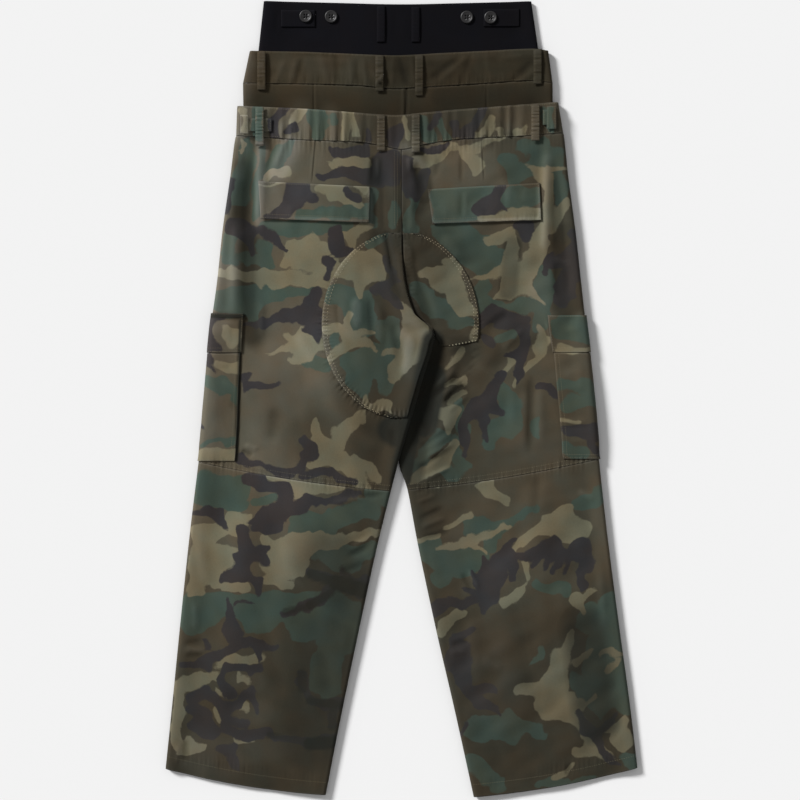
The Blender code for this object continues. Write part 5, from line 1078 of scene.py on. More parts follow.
# ---- seat patch -----------------------------------------------------------------------------------
# A second layer of twill over the seat: an oval cut in two by the back seam and the left inseam,
# stitched down twice round its edge, where the shrunk thread puckers both layers.
PATCH_GAP = 0.7
PATCH_END = {"L": -26.0, "R": 74.0}
PATCH_FOLD = ((110.0, 82.0), (50.0, 70.0))     # a fold of the right thigh hides its far corner
TUCK = 1.5              # the hidden corner lies this much flatter
REST_SPOTS = ((0.0, 0.0), (2.6, 0.0), (-2.6, 0.0), (0.0, 2.6), (0.0, -2.6))


def resting_height(side, x, y):
    """Height that a piece lying on the leg rests at: the highest of the spots round it."""
    return np.max([leg_height(side, x + dx, y + dy) for dx, dy in REST_SPOTS], axis=0)


patches = {}
for side, sign in (("L", -1.0), ("R", 1.0)):
    centre_y, half_width, half_height = PATCH_CENTRE[1], PATCH_HALF[0], PATCH_HALF[1]
    top, low = centre_y + half_height * 0.985, PATCH_END[side]
    y = top + uneven(top - low, 1.4) * (low - top)
    oval = half_width * np.sqrt(np.maximum(1.0 - ((y - centre_y) / half_height) ** 2, 0.0))
    outer_x = PATCH_CENTRE[0] + sign * oval
    rows = np.asarray(LEG_ROWS[side], float)[:CROTCH_ROW + 4]
    crotch_y = rows[CROTCH_ROW, 3]
    seam_x = column_at(rows[:, [3, 2]], y)
    below = smooth(crotch_y - y, 0.0, 14.0)
    if side == "R":
        seam_x = seam_x + 2.0 * below
        (fold_x, fold_y), (end_x, end_y) = PATCH_FOLD
        slant = fold_x + (y - fold_y) * (end_x - fold_x) / (end_y - fold_y)
        outer_x = np.where(y < fold_y, np.minimum(outer_x, slant), outer_x)
    inner_x = seam_x + sign * (SEAM_GAP + 1.2 + 4.8 * below)
    outer_x = np.where(sign * (outer_x - inner_x) < 6.0, inner_x + sign * 6.0, outer_x)
    across = uneven(100.0, 2.2, ((0.0, 6.0, 1.2), (100.0, 4.0, 1.5)))
    x = outer_x[:, None] + across * (inner_x - outer_x)[:, None]
    level = np.broadcast_to(y[:, None], x.shape)
    grid = np.stack([x, level, resting_height(side, x, level)], -1)
    normal = sheet_normals(grid)
    tucked = (1.0 - smooth(level - low, 0.0, 16.0))[..., None] * (side == "R")
    outer = grid + (PATCH_GAP + CLOTH - TUCK * tucked) * normal * np.sign(normal[..., 2:3].sum())
    away, along = patch_edge(x, level)
    outer[..., 2] -= 0.55 * np.exp(-(away / 2.2) ** 2)
    low_half = 0.3 + 0.7 * smooth(PATCH_CENTRE[1] + 60.0 - level, 0.0, 80.0)
    shrunk = low_half * smooth(away, 0.0, 2.0) * (1.0 - tucked[..., 0])
    outer[..., 2] += shrunk * (0.5 + pucker(away - 4.5, along, PATCH_PUCKER[side], 45))
    patches[side] = laid_cloth(
        "seat_patch_" + side, CAMOUFLAGE, "outer_cloth", outer, ["back_thigh_" + side + "_cloth"],
        inks=inks_at(outer, "patch_" + side, 40),
        # painted highlight on the puckers' ridges and painted shade in their troughs, with paler worn edges
        worn=(0.8 * ridge_wear_and_shade(outer, 4, 0.7) + edge_wear(outer)) * (1.0 - tucked[..., 0]))


# ---- back pocket flaps ----------------------------------------------------------------------------
# Two buttonless flaps of doubled twill, sewn down along the top and topstitched round the other
# three edges.  They stand a little off the seat, so a dark line shows under the lower edge.
BACK_FLAPS = {"L": ((-199.6, 303.6), (-43.6, 296.2), (-45.4, 246.0), (-196.4, 251.6)),
              "R": ((36.4, 292.6), (192.6, 301.6), (194.6, 249.6), (43.4, 244.4))}
FLAP_CREASES = (        # print units
    (291, 204, 292, 222, 3, 0.5), (318, 206, 316, 222, 3.5, -0.4), (333, 206, 333, 224, 3, 0.5),
    (352, 206, 350, 224, 4, -0.4), (276, 208, 274, 220, 3, -0.4), (303, 186, 301, 200, 4, 0.4),
    (461, 190, 460, 222, 2.4, -0.7), (466, 190, 465, 222, 2.4, 0.6), (502, 186, 503, 210, 2.6, -0.6),
    (508, 186, 509, 212, 3, 0.5), (524, 188, 524, 204, 3, 0.4), (444, 206, 446, 222, 3, 0.4),
    (486, 208, 484, 222, 3, -0.4), (432, 208, 440, 206, 2.4, -0.4)
)
FLAP_PUCKER = (6.0, 0.34)
FLAP_TALL, FLAP_WIDE = 52.0, 154.0


def laid_grid(corners, down, across, height):
    """A four-cornered piece on a surface: bilinear in plan, at the surface's height."""
    top_left, top_right, low_right, low_left = (np.asarray(c, float) for c in corners)
    down, across = np.asarray(down)[:, None, None], np.asarray(across)[None, :, None]
    plan = ((1 - down) * ((1 - across) * top_left + across * top_right)
            + down * ((1 - across) * low_left + across * low_right))
    return np.concatenate([plan, height(plan[..., 0], plan[..., 1])[..., None]], -1)


def turned_edges(grid, drop=0.45, reach=1.1, sides="tblr"):
    """Lower the edges of a folded piece, so that they turn down softly."""
    across, down = grid_arcs(grid)
    near = {"l": across, "r": across[:, -1:] - across, "t": down, "b": down[-1:] - down}
    nearest = np.minimum.reduce([near[side] for side in sides])
    grid[..., 2] -= drop * np.exp(-(nearest / reach) ** 2)
    return grid


flaps = {}
for side, corners in BACK_FLAPS.items():
    down, across = fine_ends(FLAP_TALL, 2.2, 3.0, 0.9), fine_ends(FLAP_WIDE, 2.2, 3.0, 0.9)
    grid = laid_grid(corners, down, across, lambda x, y, s=side: resting_height(s, x, y))
    x, y = grid[..., 0], grid[..., 1]
    grid[..., 2] += 0.9 + CLOTH + 1.5 * down[:, None] ** 1.5
    grid[..., 2] += print_creases(x, y, FLAP_CREASES)
    arcs = grid_arcs(grid)[1]
    grid[..., 2] += pucker(arcs[-1:] - arcs - 5.0, x, FLAP_PUCKER, 60) * down[:, None]
    turned_edges(grid)
    flaps[side] = laid_cloth("back_flap_" + side, CAMOUFLAGE, "outer_cloth", grid,
                             ["back_thigh_" + side + "_cloth"], inks=inks_at(grid, "flap_" + side, 50))


# ---- cargo pockets --------------------------------------------------------------------------------
# A bellows pocket wraps each outseam, half on the back and half under the front, with its flap
# above.  The bag's inner edge stands off the leg on its bellows and its outer edge bulges.
# columns: y, width on the back, width under the front, fullness
CARGO_BODY = {"L": ((64.0, 44.0, 50.0, 0.6), (20.0, 45.0, 51.0, 2.8), (-40.0, 48.0, 52.0, 3.4),
                    (-86.4, 50.0, 52.0, 0.6)),
              "R": ((64.6, 49.0, 50.0, 0.6), (20.0, 49.0, 51.0, 2.8), (-40.0, 49.0, 52.0, 3.4),
                    (-83.6, 50.0, 52.0, 0.6))}
CARGO_FLAP = {"L": ((120.0, 43.5, 50.0, 0.0), (111.0, 44.0, 50.0, 0.3), (64.6, 46.0, 51.0, 1.4)),
              "R": ((117.0, 52.0, 50.0, 0.2), (65.2, 51.0, 51.0, 1.4))}
CARGO_STAND = {"L": 0.2, "R": 0.2}       # the inner edge stands this far off on its bellows
CARGO_CREASES = (       # print units
    (206, 372, 236, 366, 3, -0.4), (200, 420, 214, 428, 2.6, -0.6), (202, 426, 216, 436, 2.6, 0.5),
    (212, 352, 206, 366, 2.6, -0.5), (222, 380, 240, 392, 4, 0.5), (230, 402, 240, 410, 3, -0.5),
    (558, 364, 592, 360, 4, -0.5), (560, 374, 594, 370, 4, 0.5), (560, 392, 594, 392, 3, -0.5),
    (560, 421, 592, 421, 2.4, 0.6), (560, 426, 594, 427, 2.4, -0.6), (566, 441, 596, 440, 2.8, 0.5),
    (562, 330, 588, 328, 3, 0.4), (562, 320, 588, 318, 3, -0.4), (560, 346, 590, 345, 2.6, -0.4),
    (232, 326, 233, 346, 2.4, -0.4), (180, 319.8, 270, 319.8, 1.3, -1.1), (180, 317, 270, 317, 1.6, 0.5)
)


def wrap_grid(side, rows, rest_on, length, zones=()):
    """A piece wrapped round the outseam: under the front, round the fold and over the back."""
    sign = -1.0 if side == "L" else 1.0
    table = np.asarray(rows, float)
    station = uneven(length, 2.3, zones)[:, None] * (len(table) - 1.0)
    y, on_back, under_front, fullness = (row_curve(table, station)[..., k] for k in range(4))
    leg = np.asarray(LEG_ROWS[side])
    outseam, side_top = column_at(leg[:, [1, 0]], y), column_at(leg[:, [1, 5]], y)
    stand = LAY_GAP + rest_on + CLOTH
    columns = []
    for share in uneven(46.0, 4.0):
        q = under_front + share * (BEAD + 2.0 - under_front)
        columns.append((outseam - sign * q, np.zeros_like(q)))
    half_height = 0.5 * (side_top + stand + fullness)
    half_width = BEAD + stand + 0.4 * fullness
    for angle in np.radians(np.linspace(-72.0, 76.0, 12)):
        columns.append((outseam - sign * (BEAD - half_width * np.cos(angle)),
                        half_height * (1.0 + np.sin(angle))))
    for share in uneven(42.0, 2.2, ((42.0, 3.0, 0.9),)):
        x = outseam - sign * (BEAD + share * (on_back - BEAD))
        height = leg_height(side, x, y) + stand + fullness * (1.0 - share ** 2)
        height = height + print_creases(x, y, CARGO_CREASES) * smooth(share, 0.0, 0.3)
        columns.append((x, height + CARGO_STAND[side] * share ** 5))
    return np.stack([np.stack([x[:, 0], y[:, 0], z[:, 0]], -1) for x, z in columns], axis=1)


cargo = {}
for side in ("L", "R"):
    leg_pieces = ["back_thigh_" + side + "_cloth", "front_" + side + "_cloth"]
    for kind, rows, lift, length in (("pocket", CARGO_BODY, 0.2, 150.0), ("flap", CARGO_FLAP, 0.6, 52.0)):
        ends = ((0.0, 3.0, 0.9), (length, 3.0, 0.9), (20.0, 6.0, 1.0))
        grid = wrap_grid(side, rows[side], lift, length, ends)
        over = smooth(grid[..., 2], 5.0, 9.0)
        arcs = grid_arcs(grid)[1]
        near_end = np.minimum(arcs, arcs[-1:] - arcs)
        grid[..., 2] -= 0.5 * over * np.exp(-(near_end / 1.1) ** 2)
        cargo[kind, side] = laid_cloth("cargo_%s_%s" % (kind, side), CAMOUFLAGE, "outer_cloth", grid,
                                       leg_pieces, inks=inks_at(grid, "cargo_" + side, 70))


# ---- fly placket ----------------------------------------------------------------------------------
# The fly's outer placket, beside the centre front: a strip of twill with a rounded foot, sewn to the
# front panels from the waist seam down.  It lies face down on the table.
fly_end = FLY_TOP - FLY_LENGTH
y = (FLY_TOP + uneven(FLY_LENGTH, 4.0) * (fly_end - FLY_TOP))[:, None]
round_off = FLY_WIDTH * (1.0 - smooth(y, fly_end, fly_end + 34.0)) * 0.6
x = -0.5 * FLY_WIDTH + round_off + uneven(FLY_WIDTH, 4.0) * (FLY_WIDTH - round_off)
grid = np.stack([x, np.broadcast_to(y, x.shape), np.zeros_like(x)], -1)
laid_cloth("fly_placket", CAMOUFLAGE, "outer_cloth", grid, inner=grid + [0, 0, CLOTH], upward=False,
           inks=inks_at(grid, 6, 90))


# ---- outer waistband ------------------------------------------------------------------------------
# The camouflage waistband: a doubled band, gathered between the belt loops at the back and plain
# at the front, where one dark button holds it.  Its top edge is folded and rubbed pale.
OUTER_TOP = ((-229.5, 408.6), (-144.0, 405.6), (-86.0, 401.5), (-23.0, 396.8), (3.5, 396.6),
             (23.0, 399.0), (68.0, 403.2), (120.0, 407.1), (178.5, 411.6), (219.0, 413.8))
OUTER_LEVEL, OUTER_SIDE = 10.5, 13.6       # height in the middle and at the side folds
GATHER_COUNT, GATHER_SPAN, GATHER_HEIGHT = 8, (38.0, 182.0), 1.5      # on each side of the middle
FRONT_DROP = 9.0        # each waist is this much lower at the front
BAND_STEP, BAND_TALL, BAND_WIDE = 2.1, 42.0, 440.0
FRONT_WIDE, DOME_ZONE = 430.0, (217.0, 22.0, 2.2)
BAND_CREASES = (        # print units
    (270, 104, 260, 146, 3, 1), (276, 102, 268, 146, 2.6, -1.2), (285, 117, 286, 145, 2.4, -1),
    (294, 99, 277, 147, 3, 0.9), (301, 104, 295, 148, 3, -0.8), (247, 102, 242, 146, 3, 0.7),
    (387, 111, 391, 149, 3, 0.7), (396, 113, 395, 151, 3, -0.7), (403, 111, 409, 149, 2.6, 0.8),
    (426, 105, 427, 153, 2.6, 0.9), (432, 106, 431, 148, 2.2, -1), (437, 106, 441, 150, 2.4, 0.9),
    (499, 124, 503, 146, 2.2, 0.8), (515, 121, 514, 147, 2.2, 0.8), (524, 119, 523, 147, 2.2, -0.8),
    (543, 103, 548, 151, 3, -0.8), (549, 100, 553, 152, 3, 0.7), (485, 104, 491, 146, 2.6, 0.7)
)
BAND_PUCKER = (15.0, 0.75)


def band_grid(top, bottom, levels, rows, steps, relief=None):
    """Back of a waist layer: a tube's upper half from one side fold to the other.

    top and bottom are plan edges, each a function from the share across to a plan point; levels
    gives front, middle and side heights at a y; steps places the columns between the two rolls.
    """
    angles = np.radians(np.linspace(BEAD_START, 78.0, 10))
    ends = np.array([0.0, 1.0])
    lines = []
    for down in rows:
        left, right = top(ends) + down * (bottom(ends) - top(ends))
        inset = BEAD / (right[0] - left[0])
        shares = inset + steps * (1.0 - 2.0 * inset)
        plan = top(shares) + down * (bottom(shares) - top(shares))
        front, middle, side = levels(0.5 * (left[1] + right[1]))
        rise = (side - front - CLOTH - SEAM_GAP) / (1.0 - np.sin(angles[0]))
        edge = np.minimum(plan[:, 0] - left[0], right[0] - plan[:, 0])
        height = middle + (side - middle) * roll_share(edge, EDGE_SPREAD)
        if relief is not None:
            height = height + relief(plan[:, 0], plan[:, 1], down) * smooth(edge, BEAD, BEAD + 9.0)
        start = [(left[0] + BEAD * (1 - np.cos(a)), left[1], side - rise + rise * np.sin(a)) for a in angles]
        end = [(right[0] - BEAD * (1 - np.cos(a)), right[1], side - rise + rise * np.sin(a))
               for a in angles[::-1]]
        lines.append(np.concatenate([start, np.column_stack([plan, height]), end]))
    return np.stack(lines)


def edge_line(table, shift=0.0):
    """A plan edge as a function of the share across."""
    table = np.asarray(table, float)

    def at(share):
        x = table[0, 0] + share * (table[-1, 0] - table[0, 0])
        return np.column_stack([x, column_at(table, x) + shift])
    return at


def level_line(sides, y):
    """A straight plan edge across a layer at height y, between its side edges."""
    def at(share):
        left, right = column_at(sides, y, 1), column_at(sides, y, 2)
        return np.column_stack([left + share * (right - left), np.full_like(share, y)])
    return at


def gather_relief(x, down):
    """Ruffles of the outer waistband: a wave that opens from the seam towards the top."""
    near, far = GATHER_SPAN
    across = np.clip((np.abs(x) - near) / (far - near), 0.0, 1.0)
    uneven_wave = across + 0.018 * np.sin(across * 23.0 + np.sign(x))
    strength = smooth(across, 0.0, 0.08) * (1.0 - smooth(across, 0.92, 1.0))
    strength = strength * (0.75 + 0.35 * np.sin(x / 19.0))
    return GATHER_HEIGHT * (0.55 + 0.45 * down) * strength * np.sin(2 * np.pi * GATHER_COUNT * uneven_wave)


def outer_band_relief(x, y, down):
    """Gathers, the listed ruffles, and puckers at the seam and along the top edge."""
    small = print_creases(x, y, BAND_CREASES)
    inside = smooth(np.abs(x), 30.0, 46.0) * 0.8 + 0.2
    seam = pucker((1.0 - down) * BAND_TALL, x, BAND_PUCKER, 400) * inside
    top = pucker(down * BAND_TALL, x + 7.0, (6.0, 0.25), 401) * inside
    return gather_relief(x, down) + small + seam + top


def flat_front(name, cloth, slot, top, bottom, level, rows, dome=None):
    """Front of a waist layer: a flat wall a little inside the side folds."""
    shares = uneven(FRONT_WIDE, 4.5, (DOME_ZONE,)) if dome else uneven(FRONT_WIDE, 6.0)
    lines = []
    for down in rows:
        plan = top(shares) + down * (bottom(shares) - top(shares))
        plan[:, 0] += FRONT_INSET * (1.0 - 2.0 * shares)
        height = np.array([level(y) for y in plan[:, 1]])
        if dome is not None:
            height = height + dome(plan[:, 0], plan[:, 1])
        lines.append(np.column_stack([plan, height]))
    grid = np.stack(lines)
    laid_cloth(name, cloth, slot, grid, inner=grid + [0, 0, CLOTH], upward=False,
               inks=inks_at(grid, 24, 95) if cloth == CAMOUFLAGE else None)


BUTTON_RADIUS, BUTTON_HEIGHT = 8.8, 2.6
FRONT_BUTTON = (2.0, 369.0)


def front_button_dome(x, y):
    """The front waistband rises over its button, which lies under it on the table."""
    away = np.hypot(x - FRONT_BUTTON[0], y - FRONT_BUTTON[1])
    return (BUTTON_HEIGHT + 0.6) * (1.0 - smooth(away, BUTTON_RADIUS + 2.0, BUTTON_RADIUS + 15.0))


outer_band = band_grid(edge_line(OUTER_TOP), edge_line(OUTER_SEAM, LAY_GAP),
                       lambda _y: (0.0, OUTER_LEVEL, OUTER_SIDE),
                       uneven(BAND_TALL, BAND_STEP, ((0.0, 4.0, 0.9), (BAND_TALL, 3.0, 1.0))),
                       uneven(BAND_WIDE, 1.9), outer_band_relief)
turned_edges(outer_band, 0.5, 1.2, "tb")
band_piece = covering("outer_waistband_back", CAMOUFLAGE, "outer_cloth", outer_band,
                      inks=inks_at(outer_band, "band", 60))
flat_front("outer_waistband_front", CAMOUFLAGE, "outer_cloth", edge_line(OUTER_TOP, -FRONT_DROP),
           edge_line(FRONT_SEAM, LAY_GAP + SEAM_GAP), lambda _y: 0.0, uneven(BAND_TALL, 2.6),
           front_button_dome)


# ---- horn buttons ---------------------------------------------------------------------------------
# Dark four-hole buttons with a raised rim and a dished middle; the inner buttons are sewn on with crossed
# thread.
HORN, horn_tree, horn_shader = new_material("dark horn")
horn_place = node(horn_tree, "TexCoord").outputs["Object"]
grain = node(horn_tree, "TexNoise", {"Vector": horn_place, "Scale": 260.0, "Detail": 4.0})
horn_colour = mix_colour(horn_tree, grain.outputs["Fac"], srgb(15, 14, 16), srgb(31, 29, 29))
horn_tree.links.new(horn_colour, horn_shader.inputs["Base Color"])
polish = node(horn_tree, "MapRange", {"Value": grain.outputs["Fac"], "To Min": 0.34, "To Max": 0.5})
horn_tree.links.new(polish.outputs["Result"], horn_shader.inputs["Roughness"])
HOLE_RADIUS, HOLE_RING, BUTTON_SIDES, HOLE_SIDES = 1.1, 2.3, 48, 14
# columns: radius and height of the button's section, from the underside to the dished middle
BUTTON_SECTION = ((0.0, 0.0), (BUTTON_RADIUS - 0.9, 0.0), (BUTTON_RADIUS - 0.3, 0.3), (BUTTON_RADIUS, 0.9),
                  (BUTTON_RADIUS, 1.6), (BUTTON_RADIUS - 0.35, 2.25), (BUTTON_RADIUS - 1.0, BUTTON_HEIGHT),
                  (BUTTON_RADIUS - 1.7, 2.5), (BUTTON_RADIUS - 2.4, 2.1), (BUTTON_RADIUS - 3.4, 1.85),
                  (0.0, 1.8))
HOLE_PIN = ((0.0, -1.0), (HOLE_RADIUS, -1.0), (HOLE_RADIUS, BUTTON_HEIGHT + 1.0), (0.0, BUTTON_HEIGHT + 1.0))


def turned(section, spot, base, sides):
    """A section turned round the upright through spot: rings of points, closed at both poles."""
    turn = 2.0 * np.pi * np.arange(sides) / sides
    rings = np.array(section[1:-1])
    x = spot[0] + rings[:, 0, None] * np.cos(turn)
    y = spot[1] + rings[:, 0, None] * np.sin(turn)
    z = np.broadcast_to(base + rings[:, 1, None], x.shape)
    points = np.stack([x, y, z], -1).reshape(-1, 3)
    poles = [(spot[0], spot[1], base + section[0][1]), (spot[0], spot[1], base + section[-1][1])]
    place = np.arange(len(rings) * sides).reshape(len(rings), sides)
    beside = np.roll(place, -1, axis=1)
    quads = np.stack([place[:-1], beside[:-1], beside[1:], place[1:]], -1).reshape(-1, 4).tolist()
    foot, head = len(points), len(points) + 1
    fans = [(int(b), int(a), foot) for a, b in zip(place[0], beside[0])]
    fans += [(int(a), int(b), head) for a, b in zip(place[-1], beside[-1])]
    return np.concatenate([points, poles]), quads + fans


def solid_piece(name, points, faces, cloth):
    """A finished mesh as its own object, smooth shaded."""
    mesh = bpy.data.meshes.new(name)
    mesh.from_pydata((np.asarray(points) * MM).tolist(), [], faces)
    mesh.polygons.foreach_set("use_smooth", np.ones(len(mesh.polygons), bool))
    mesh.materials.append(cloth)
    return placed(name, mesh)


def horn_button(name, solid, spot, base, face_down=False):
    """The turned button with its four holes cut through, the cuts applied to the mesh."""
    section = [(r, BUTTON_HEIGHT - z) for r, z in BUTTON_SECTION[::-1]] if face_down else BUTTON_SECTION
    button = solid_piece(name, *turned(section, spot, base, BUTTON_SIDES), HORN)
    cutters = []
    for corner in range(4):
        angle = np.pi / 4 + corner * np.pi / 2
        hole = (spot[0] + HOLE_RING * np.cos(angle), spot[1] + HOLE_RING * np.sin(angle))
        cutters.append(solid_piece("hole", *turned(HOLE_PIN, hole, base, HOLE_SIDES), HORN))
        cut = button.modifiers.new("hole", "BOOLEAN")
        cut.operation, cut.object, cut.solver = "DIFFERENCE", cutters[-1], "EXACT"
    graph = bpy.context.evaluated_depsgraph_get()
    finished = bpy.data.meshes.new_from_object(button.evaluated_get(graph))
    button.modifiers.clear()
    button.data = finished
    for cutter in cutters:
        bpy.data.objects.remove(cutter, do_unlink=True)
    return fit(button, solid)


horn_button("front_button_horn", "front_button", FRONT_BUTTON, 0.0, face_down=True)


# ---- outer loops, side tabs and keepers -------------------------------------------------------------
# Strips of folded twill: belt loops bar-tacked at both ends and rumpled between them, and on each
# side a pull tab that runs under a keeper to take in the waist.
# a loop's width, how far it stands off the band, pitch of its rumples, and painted light and shade on them
LOOP_WIDTH, LOOP_RISE, LOOP_BAR_PITCH, LOOP_BAR_LIGHT_AND_SHADE = 11.5, 1.7, 5.2, 1.3
LOOP_CREASES = (        # print units
    (370, 90, 388, 74, 2.6, 1.3), (388, 92, 376, 80, 2, -0.9), (372, 70, 388, 66, 2.4, -0.5),
    (410, 84, 426, 80, 2.4, -0.6), (410, 92, 426, 90, 2.2, 0.7), (252, 70, 266, 66, 3, 0.5),
    (252, 80, 266, 84, 2.4, -0.5), (528, 66, 546, 62, 2.6, 0.5), (528, 76, 546, 74, 2.2, -0.5)
)
# columns: x, top, bottom
OUTER_LOOPS = ((-197.7, 407.2, 352.5), (-28.5, 396.6, 346.0), (20.0, 398.0, 343.6),
               (186.6, 411.4, 360.0))
# boxes: left, right, top, bottom
SIDE_TABS = {"L": (-223.0, -181.0, 391.0, 373.0), "R": (197.0, 214.0, 403.0, 382.0)}
SIDE_KEEPERS = {"L": (-224.5, -213.5, 395.4, 369.4), "R": (202.4, 215.6, 408.0, 376.0)}
TAB_LIFT, KEEPER_LIFT = 0.9 + CLOTH, 1.8 + 2 * CLOTH


def outer_band_height(x, y):
    """Top of the outer waistband, gathers included, and of the panels below it."""
    seam, top = column_at(OUTER_SEAM, x), column_at(OUTER_TOP, x)
    down = np.clip((top - y) / (top - seam), 0.0, 1.0)
    left = OUTER_TOP[0][0] + down * (OUTER_SEAM[0][0] - OUTER_TOP[0][0])
    right = OUTER_TOP[-1][0] + down * (OUTER_SEAM[-1][0] - OUTER_TOP[-1][0])
    edge = np.minimum(x - left, right - x)
    band = OUTER_LEVEL + (OUTER_SIDE - OUTER_LEVEL) * roll_share(edge, EDGE_SPREAD)
    band = band + np.maximum(outer_band_relief(x, y, down) * smooth(edge, BEAD, BEAD + 9.0), 0.0)
    panel = np.where(x < 0.0, leg_height("L", x, y), leg_height("R", x, y))
    return np.where(y > seam - 3.0, np.maximum(band, panel), panel)


def box_corners(left, right, top, bottom):
    """Corners of an upright rectangle, from its top left round to its lower left."""
    return (left, top), (right, top), (right, bottom), (left, bottom)


def belt_loop(name, cloth, slot, spot, height, lift=0.0, seed=0, inks=None, rumple=0.45, rise=LOOP_RISE):
    """A strip stitched down at both ends, standing off the band and rumpled across between them."""
    x, top, bottom = spot
    half, tall, window = 0.5 * LOOP_WIDTH, top - bottom, 7
    down, across = fine_ends(tall, 1.0, 2.0, 0.8), fine_ends(LOOP_WIDTH, 1.3, 1.5, 0.6)
    grid = laid_grid(box_corners(x - half, x + half, top, bottom), down, across, height)
    base = grid[..., 2].max(axis=1, keepdims=True)
    padded = np.pad(base, ((window, window), (0, 0)), mode="edge")
    highest = np.max([np.roll(padded, k, axis=0) for k in range(-window, window + 1)], axis=0)
    grid[..., 2] = highest[window:-window]
    down = down[:, None]
    grid[..., 2] += LAY_GAP + CLOTH + lift + rise * np.sin(np.pi * down) ** 0.8
    bars = np.sin(2.0 * np.pi * tall * down / LOOP_BAR_PITCH + seed + 1.4 * np.sin(down * 9.0 + seed))
    lean = 0.6 + 0.6 * np.sin((across[None, :] * 1.5 + down * 9.0 + seed) * 1.9)
    grid[..., 2] += rumple * bars * lean * np.sin(np.pi * down) ** 0.5
    folds = print_creases(grid[..., 0], grid[..., 1], LOOP_CREASES)
    grid[..., 2] += np.maximum(folds, -0.8)
    grid[..., 2] += 0.22 * (np.abs(2.0 * across - 1.0) < 0.55)
    turned_edges(grid, 0.5, 0.8)
    fields = inks_at(grid, inks, 500 + seed) if inks else None
    # painted light on the rumples' ridges and painted shade in their troughs, with paler worn edges
    worn = LOOP_BAR_LIGHT_AND_SHADE * ridge_wear_and_shade(grid, 4, 0.5) + edge_wear(grid)
    return covering(name, cloth, slot, grid, inks=fields, worn=worn), grid


def laid_strip(name, cloth, slot, box, height, lift, inks=None):
    """A flat folded strip that lies on a band in a box (left, right, top, bottom), edges turned down."""
    left, right, top, bottom = box
    down, across = fine_ends(top - bottom, 1.6, 1.6, 0.7), fine_ends(right - left, 1.6, 1.6, 0.7)
    grid = laid_grid(box_corners(*box), down, across, height)
    grid[..., 2] += lift
    turned_edges(grid, 0.45, 0.9)
    return covering(name, cloth, slot, grid, inks=inks_at(grid, inks, 520) if inks else None), grid


outer_trim = []
for number, spot in enumerate(OUTER_LOOPS, 1):
    over_tab = 2.1 if number in (1, 4) else 0.6
    outer_trim.append(belt_loop("outer_loop_%d" % number, CAMOUFLAGE, "outer_cloth", spot, outer_band_height,
                                over_tab, number, inks="band"))
for name, table, lift in (("side_tab_", SIDE_TABS, TAB_LIFT), ("side_keeper_", SIDE_KEEPERS, KEEPER_LIFT)):
    outer_trim += [laid_strip(name + side, CAMOUFLAGE, "outer_cloth", box, outer_band_height, lift, "band")
                   for side, box in table.items()]


# ---- olive middle waist -----------------------------------------------------------------------------
# The middle pair shows as an olive waistband, four rumpled belt loops and a strip of hip with two
# darts and a back seam, all of garment-washed cotton that has crumpled along its seams.
# the second colour is the olive's painted shade colour
OLIVE = cloth_material("olive twill", srgb(52, 46, 34), srgb(16, 14, 9), TWILL_PITCH, 0.5, 0.9, 0.0, 0.5, 0.6)
MIDDLE_TOP = ((-212.0, 485.8), (-135.0, 484.7), (-79.0, 482.3), (-23.0, 480.0), (1.0, 480.0),
              (55.0, 483.0), (120.0, 486.2), (182.0, 489.0), (205.0, 486.4))
MIDDLE_SEAM = ((-221.5, 440.6), (-125.0, 439.3), (-58.0, 437.2), (-16.0, 433.0), (7.0, 433.6),
               (71.0, 437.2), (120.0, 440.4), (177.0, 444.0), (211.0, 441.4))
SEAM_END_GAP = 0.02     # at its two side folds the band closes down onto the hip
MIDDLE_END, MIDDLE_FRONT_END = 346.0, 391.0
MIDDLE_TALL, MIDDLE_WIDE, HIP_TALL, HIP_WIDE = 46.0, 420.0, 90.0, 426.0
# columns: y, left edge, right edge; then y and the heights of the front, the middle and the sides
MIDDLE_SIDES = ((346.0, -220.0, 212.0), (404.0, -224.6, 213.6), (414.0, -225.6, 214.8),
                (441.0, -222.0, 211.2), (465.0, -218.6, 208.2), (486.0, -212.2, 205.0))
MIDDLE_LEVELS = ((346.0, 1.5, 6.4, 9.0), (407.0, 1.5, 6.7, 9.4), (428.0, 0.6, 8.2, 11.2),
                 (450.0, 0.0, 8.2, 11.2), (490.0, 0.0, 8.2, 11.2))
MIDDLE_LOOPS = ((-195.3, 485.0, 431.0), (-30.6, 479.8, 429.2), (24.6, 480.6, 423.0),
                (189.7, 488.0, 439.0))
MIDDLE_CREASES = (      # print units
    (287, 57, 273, 91, 3, 0.5), (298, 56, 288, 94, 3.4, 0.5), (304, 54, 294, 92, 2.6, -0.5),
    (320, 52, 330, 92, 4, 0.5), (335, 49, 339, 93, 3, -0.5), (349, 54, 353, 92, 2.6, 0.4),
    (357, 57, 357, 91, 2, -0.5), (363, 54, 367, 94, 2.4, 0.5), (368, 66, 388, 96, 3, 0.6),
    (393, 54, 392, 92, 2.6, 0.5), (398, 52, 408, 92, 3, -0.5), (411, 52, 415, 92, 2.4, 0.5),
    (424, 84, 464, 54, 3.4, -0.5), (432, 89, 470, 55, 3, 0.5), (473, 47, 459, 91, 3, -0.4),
    (485, 52, 491, 90, 3, 0.4), (506, 88, 536, 58, 3.4, -0.5), (512, 88, 540, 68, 3, 0.5),
    (493, 61, 527, 57, 2.6, 0.4), (267, 54, 261, 92, 2.6, -0.5), (286, 55, 354, 59, 2.4, -0.3)
)
MIDDLE_DARTS = (-122.4, 118.8)


def levels_from(table):
    """Front, middle and side heights at a y, read from a table."""
    def at(y):
        return [float(np.interp(y, [r[0] for r in table], [r[i] for r in table])) for i in (1, 2, 3)]
    return at


